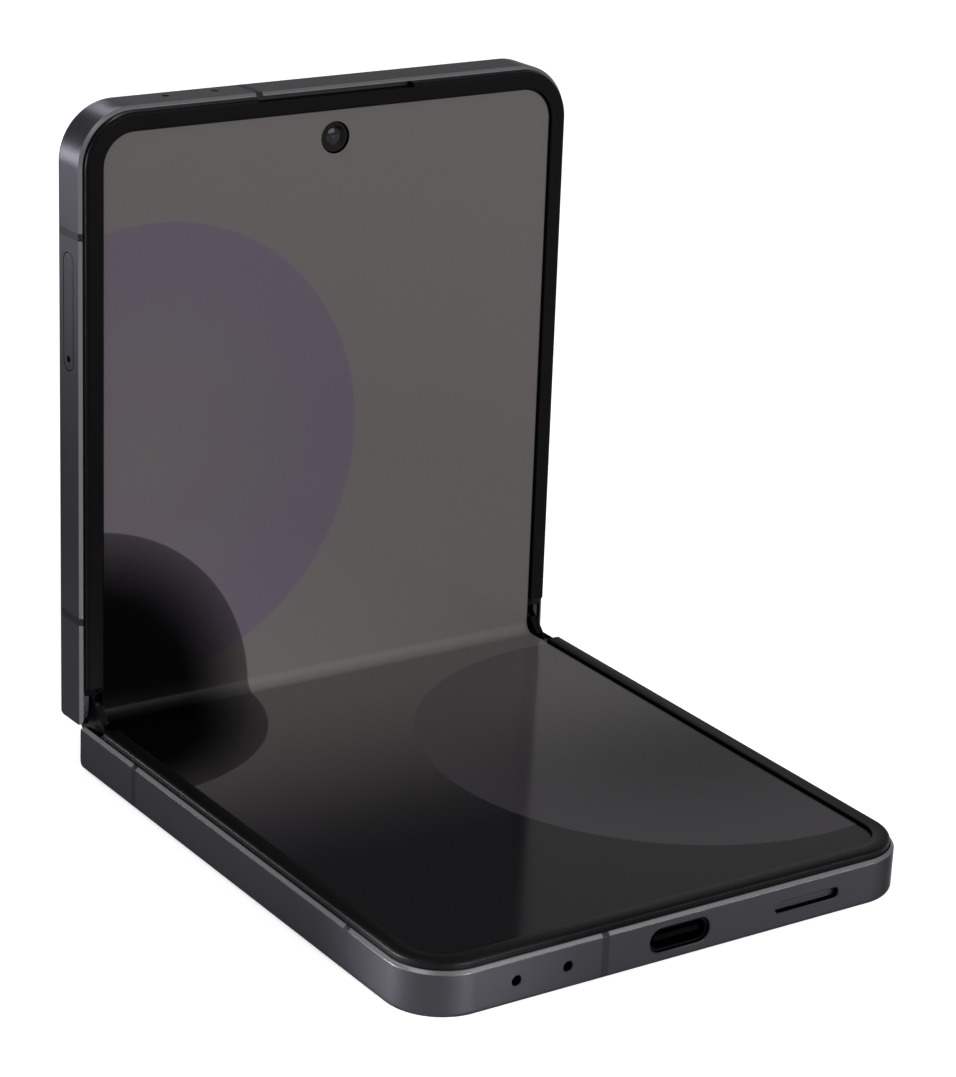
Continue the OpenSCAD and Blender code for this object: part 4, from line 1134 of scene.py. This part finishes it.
def spine_shell(name):
    """The shell on the outside of the fold, with softened ends."""
    end = CAP_OUT - CAP_PLATE
    rings = []
    for x, by in ((-end, 0.08), (-end + 0.03, 0.03), (-end + 0.08, 0), (0, 0),
                  (end - 0.08, 0), (end - 0.03, 0.03), (end, 0.08)):
        flat = shell_section(SPINE_R - by, SPINE_R - SPINE_WALL)
        rings.append([(x, y, z) for y, z in flat])
    return smooth(solid_of_rings(name, rings))


def cap_section(by):
    """Outline of an end cap's plate, drawn in by a small amount."""
    a = AXIS_HALF
    low, high = SPINE_R - by, CAP_R - by
    return (arc(a, 0, low, 0, -90, 20) + arc(-a, 0, low, -90, -180, 20)
            + arc(-a, 0, high, 180, 90, 14) + arc(a, 0, high, 90, 0, 14))


def hinge_cap(name, side):
    """Black end piece of the fold: a plate with a rounded edge and a roof over the gears."""
    rings = []
    for x, by in ((CAP_OUT - CAP_PLATE, 0), (CAP_OUT - 0.08, 0), (CAP_OUT - 0.03, 0.03),
                  (CAP_OUT, 0.1)):
        rings.append([(side * x, y, z) for y, z in cap_section(by)])
    plate = solid_of_rings("tool", rings)
    roof_low, roof_top = ROOF_HALF, CAP_R
    rounded = [(-ROOF_HALF, roof_low), (ROOF_HALF, roof_low), (ROOF_HALF, roof_top - 0.12)]
    rounded += [(ROOF_HALF - 0.04, roof_top - 0.03), (ROOF_HALF - 0.12, roof_top)]
    rounded += [(-ROOF_HALF + 0.12, roof_top), (-ROOF_HALF + 0.04, roof_top - 0.03)]
    rounded += [(-ROOF_HALF, roof_top - 0.12)]
    roof = along_x(rounded, side * GEAR_IN, side * (CAP_OUT - 0.01))
    return smooth(joined(name, [plate, roof]))


FLEX_X = (-14, 14)
FLEX_W = 10
FLEX_T = 0.15
FLEX_TAIL = 4
FLEX_REACH = 3
FLEX_DIP = -2.6
FLEX_SPREAD = 2
FLEX_PLAY = 0.65


def turned(p, angle):
    """A point of (y, z) turned about the origin."""
    return (math.cos(angle) * p[0] - math.sin(angle) * p[1],
            math.sin(angle) * p[0] + math.cos(angle) * p[1])


def flex_path(steps=24):
    """The cable's way in the spine frame, from its tail in the half to the middle plane:
    points and directions."""
    level = -SPINE_R * math.sin(math.radians(SHELL_EDGE)) + FLEX_PLAY
    first = turned((BAY_END - 0.3 - AXIS_HALF, level), HALF_TURN)
    first = (first[0] + AXIS_HALF, first[1])
    way = turned((-1, 0), HALF_TURN)
    second = (first[0] + FLEX_REACH * way[0], first[1] + FLEX_REACH * way[1])
    control = [Vector(v) for v in (first, second, (FLEX_SPREAD, FLEX_DIP), (0, FLEX_DIP))]
    path = [((first[0] - FLEX_TAIL * way[0], first[1] - FLEX_TAIL * way[1]), way)]
    for i in range(steps + 1):
        t = i / steps
        u = 1 - t
        p = (u ** 3 * control[0] + 3 * u * u * t * control[1] + 3 * u * t * t * control[2]
             + t ** 3 * control[3])
        d = (u * u * (control[1] - control[0]) + 2 * u * t * (control[2] - control[1])
             + t * t * (control[3] - control[2])).normalized()
        path.append(((p.x, p.y), (d.x, d.y)))
    return path


def flex_cables(name, side):
    """Half of both flat cables that cross the fold."""
    parts = []
    for middle in FLEX_X:
        rings = []
        for (y, z), (dy, dz) in flex_path():
            inner = (y + FLEX_T * dz, z - FLEX_T * dy)
            rings.append([(middle + sx * FLEX_W / 2, side * py, pz)
                          for sx, (py, pz) in ((-1, (y, z)), (1, (y, z)), (1, inner), (-1, inner))])
        parts.append(solid_of_rings("tool", rings))
    return smooth(joined(name, parts), 50)


def make_flex_cables():
    for side, other in ((1, "upper_half"), (-1, "lower_half")):
        cable = flex_cables("flex_cables_" + other, side)
        place(cable, "hinge_spine", "copper", "hinge_flex_cables")
        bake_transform(cable)


def make_hinge():
    riding(spine_shell("spine_shell"), "hinge_spine", "metal_frame", "hinge_spine")
    riding(hinge_cap("end_cap_right", 1), "hinge_spine", "black_trim", "hinge_cap_right")
    riding(hinge_cap("end_cap_left", -1), "hinge_spine", "black_trim", "hinge_cap_left")


make_lower()
make_upper()
make_outside()
make_controls()
make_hinge()
make_flex_cables()
make_display()


# ---- stage, light and camera ----
FLOOR_HALF = 0.8
FLOOR_SHADE = 0.82
FLOOR_GLOW = 0.65
WORLD_LIGHT = 0.45


def seen_rays(tree):
    """1 for the rays that show the ground: from the camera, a gloss or a glass."""
    path = node(tree, "ShaderNodeLightPath")
    through = math_node(tree, "MAXIMUM", path.outputs["Is Glossy Ray"],
                        path.outputs["Is Transmission Ray"])
    return math_node(tree, "MAXIMUM", path.outputs["Is Camera Ray"], through)


def make_stage():
    """A pale floor that shows as white but keeps the object's shadow."""
    half = FLOOR_HALF
    floor = mesh_object("floor", [(-half, -half, 0), (half, -half, 0), (half, half, 0),
                                  (-half, half, 0)], [(0, 1, 2, 3)])
    made = bpy.data.materials.new("floor")
    made.use_nodes = True
    tree = made.node_tree
    shader = tree.nodes["Principled BSDF"]
    shader.inputs["Base Color"].default_value = (FLOOR_SHADE, FLOOR_SHADE, FLOOR_SHADE, 1)
    shader.inputs["Roughness"].default_value = 0.9
    shader.inputs["Specular IOR Level"].default_value = 0.0
    shader.inputs["Emission Color"].default_value = (1, 1, 1, 1)
    glow = math_node(tree, "MULTIPLY", seen_rays(tree), FLOOR_GLOW)
    tree.links.new(glow, shader.inputs["Emission Strength"])
    floor.data.materials.append(made)
    floor.location.z = -0.0002


def make_world():
    world = bpy.data.worlds.new("world")
    bpy.context.scene.world = world
    world.use_nodes = True
    tree = world.node_tree
    back = tree.nodes["Background"]
    strength = node(tree, "ShaderNodeMapRange")
    strength.inputs["To Min"].default_value = WORLD_LIGHT
    strength.inputs["To Max"].default_value = 1.0
    tree.links.new(seen_rays(tree), strength.inputs["Value"])
    tree.links.new(strength.outputs["Result"], back.inputs["Strength"])
    back.inputs["Color"].default_value = (1, 1, 1, 1)


def lamp(name, where, aim, size, power, spread=180):
    """A rectangular lamp; a small spread, in degrees, makes a narrow beam."""
    data = bpy.data.lights.new(name, "AREA")
    data.spread = math.radians(spread)
    data.shape = "RECTANGLE"
    data.size = size[0]
    data.size_y = size[1]
    data.energy = power
    obj = bpy.data.objects.new(name, data)
    bpy.context.scene.collection.objects.link(obj)
    obj.location = where
    obj.rotation_mode = "QUATERNION"
    obj.rotation_quaternion = (Vector(aim) - Vector(where)).to_track_quat("-Z", "Y")
    return obj


def make_lights():
    lamp("key_light", (-0.5, -0.1, 0.8), (0, 0, 0.03), (0.4, 0.4), 1.2)
    lamp("front_softbox", (0.3, -0.85, 0.42), (0, 0.03, 0.04), (0.6, 0.6), 7.6)
    lamp("left_back_light", (-0.168, 0.191, 0.07), (-0.036, 0.045, 0.077), (0.06, 0.055), 0.012, 20)
    lamp("behind_light", (0.001, 0.335, 0.36), (-0.03, 0.045, 0.086), (0.06, 0.04), 0.01, 8)
    lamp("left_low_light", (-0.247, 0.089, 0.01), (-0.034, -0.0435, 0.003), (0.012, 0.012), 0.0074, 6)
    lamp("front_low_light", (0.028, -0.287, 0.01), (-0.03, -0.045, 0.003), (0.014, 0.012), 0.0048, 8)
    lamp("front_right_light", (0.2, -0.293, 0.01), (0.03, -0.045, 0.003), (0.06, 0.012), 0.005, 12)
    lamp("left_fold_light", (-0.205, 0.243, 0.01), (-0.037, 0.005, 0.003), (0.05, 0.012), 0.006, 12)


CAMERA = {"azimuth": -34.915, "elevation": 20.291, "roll": 2.810, "distance": 437.42,
          "target": (4.191, 6.885, 35.309), "lens": 114.12}


def make_camera():
    """The camera fitted to the photograph."""
    data = bpy.data.cameras.new("camera")
    data.lens = CAMERA["lens"]
    data.sensor_width = 36
    data.clip_start = 0.02
    data.clip_end = 20
    obj = bpy.data.objects.new("camera", data)
    bpy.context.scene.collection.objects.link(obj)
    a = math.radians(CAMERA["azimuth"])
    e = math.radians(CAMERA["elevation"])
    back = Vector((math.sin(a) * math.cos(e), -math.cos(a) * math.cos(e), math.sin(e)))
    obj.location = (Vector(CAMERA["target"]) + back * CAMERA["distance"]) * MM
    turn = (-back).to_track_quat("-Z", "Y").to_matrix()
    roll = Matrix.Rotation(math.radians(CAMERA["roll"]), 3, "Z")
    obj.rotation_mode = "QUATERNION"
    obj.rotation_quaternion = (turn @ roll).to_quaternion()
    bpy.context.scene.camera = obj


make_stage()
make_world()
make_lights()
make_camera()
bpy.context.scene.view_settings.view_transform = "Standard"
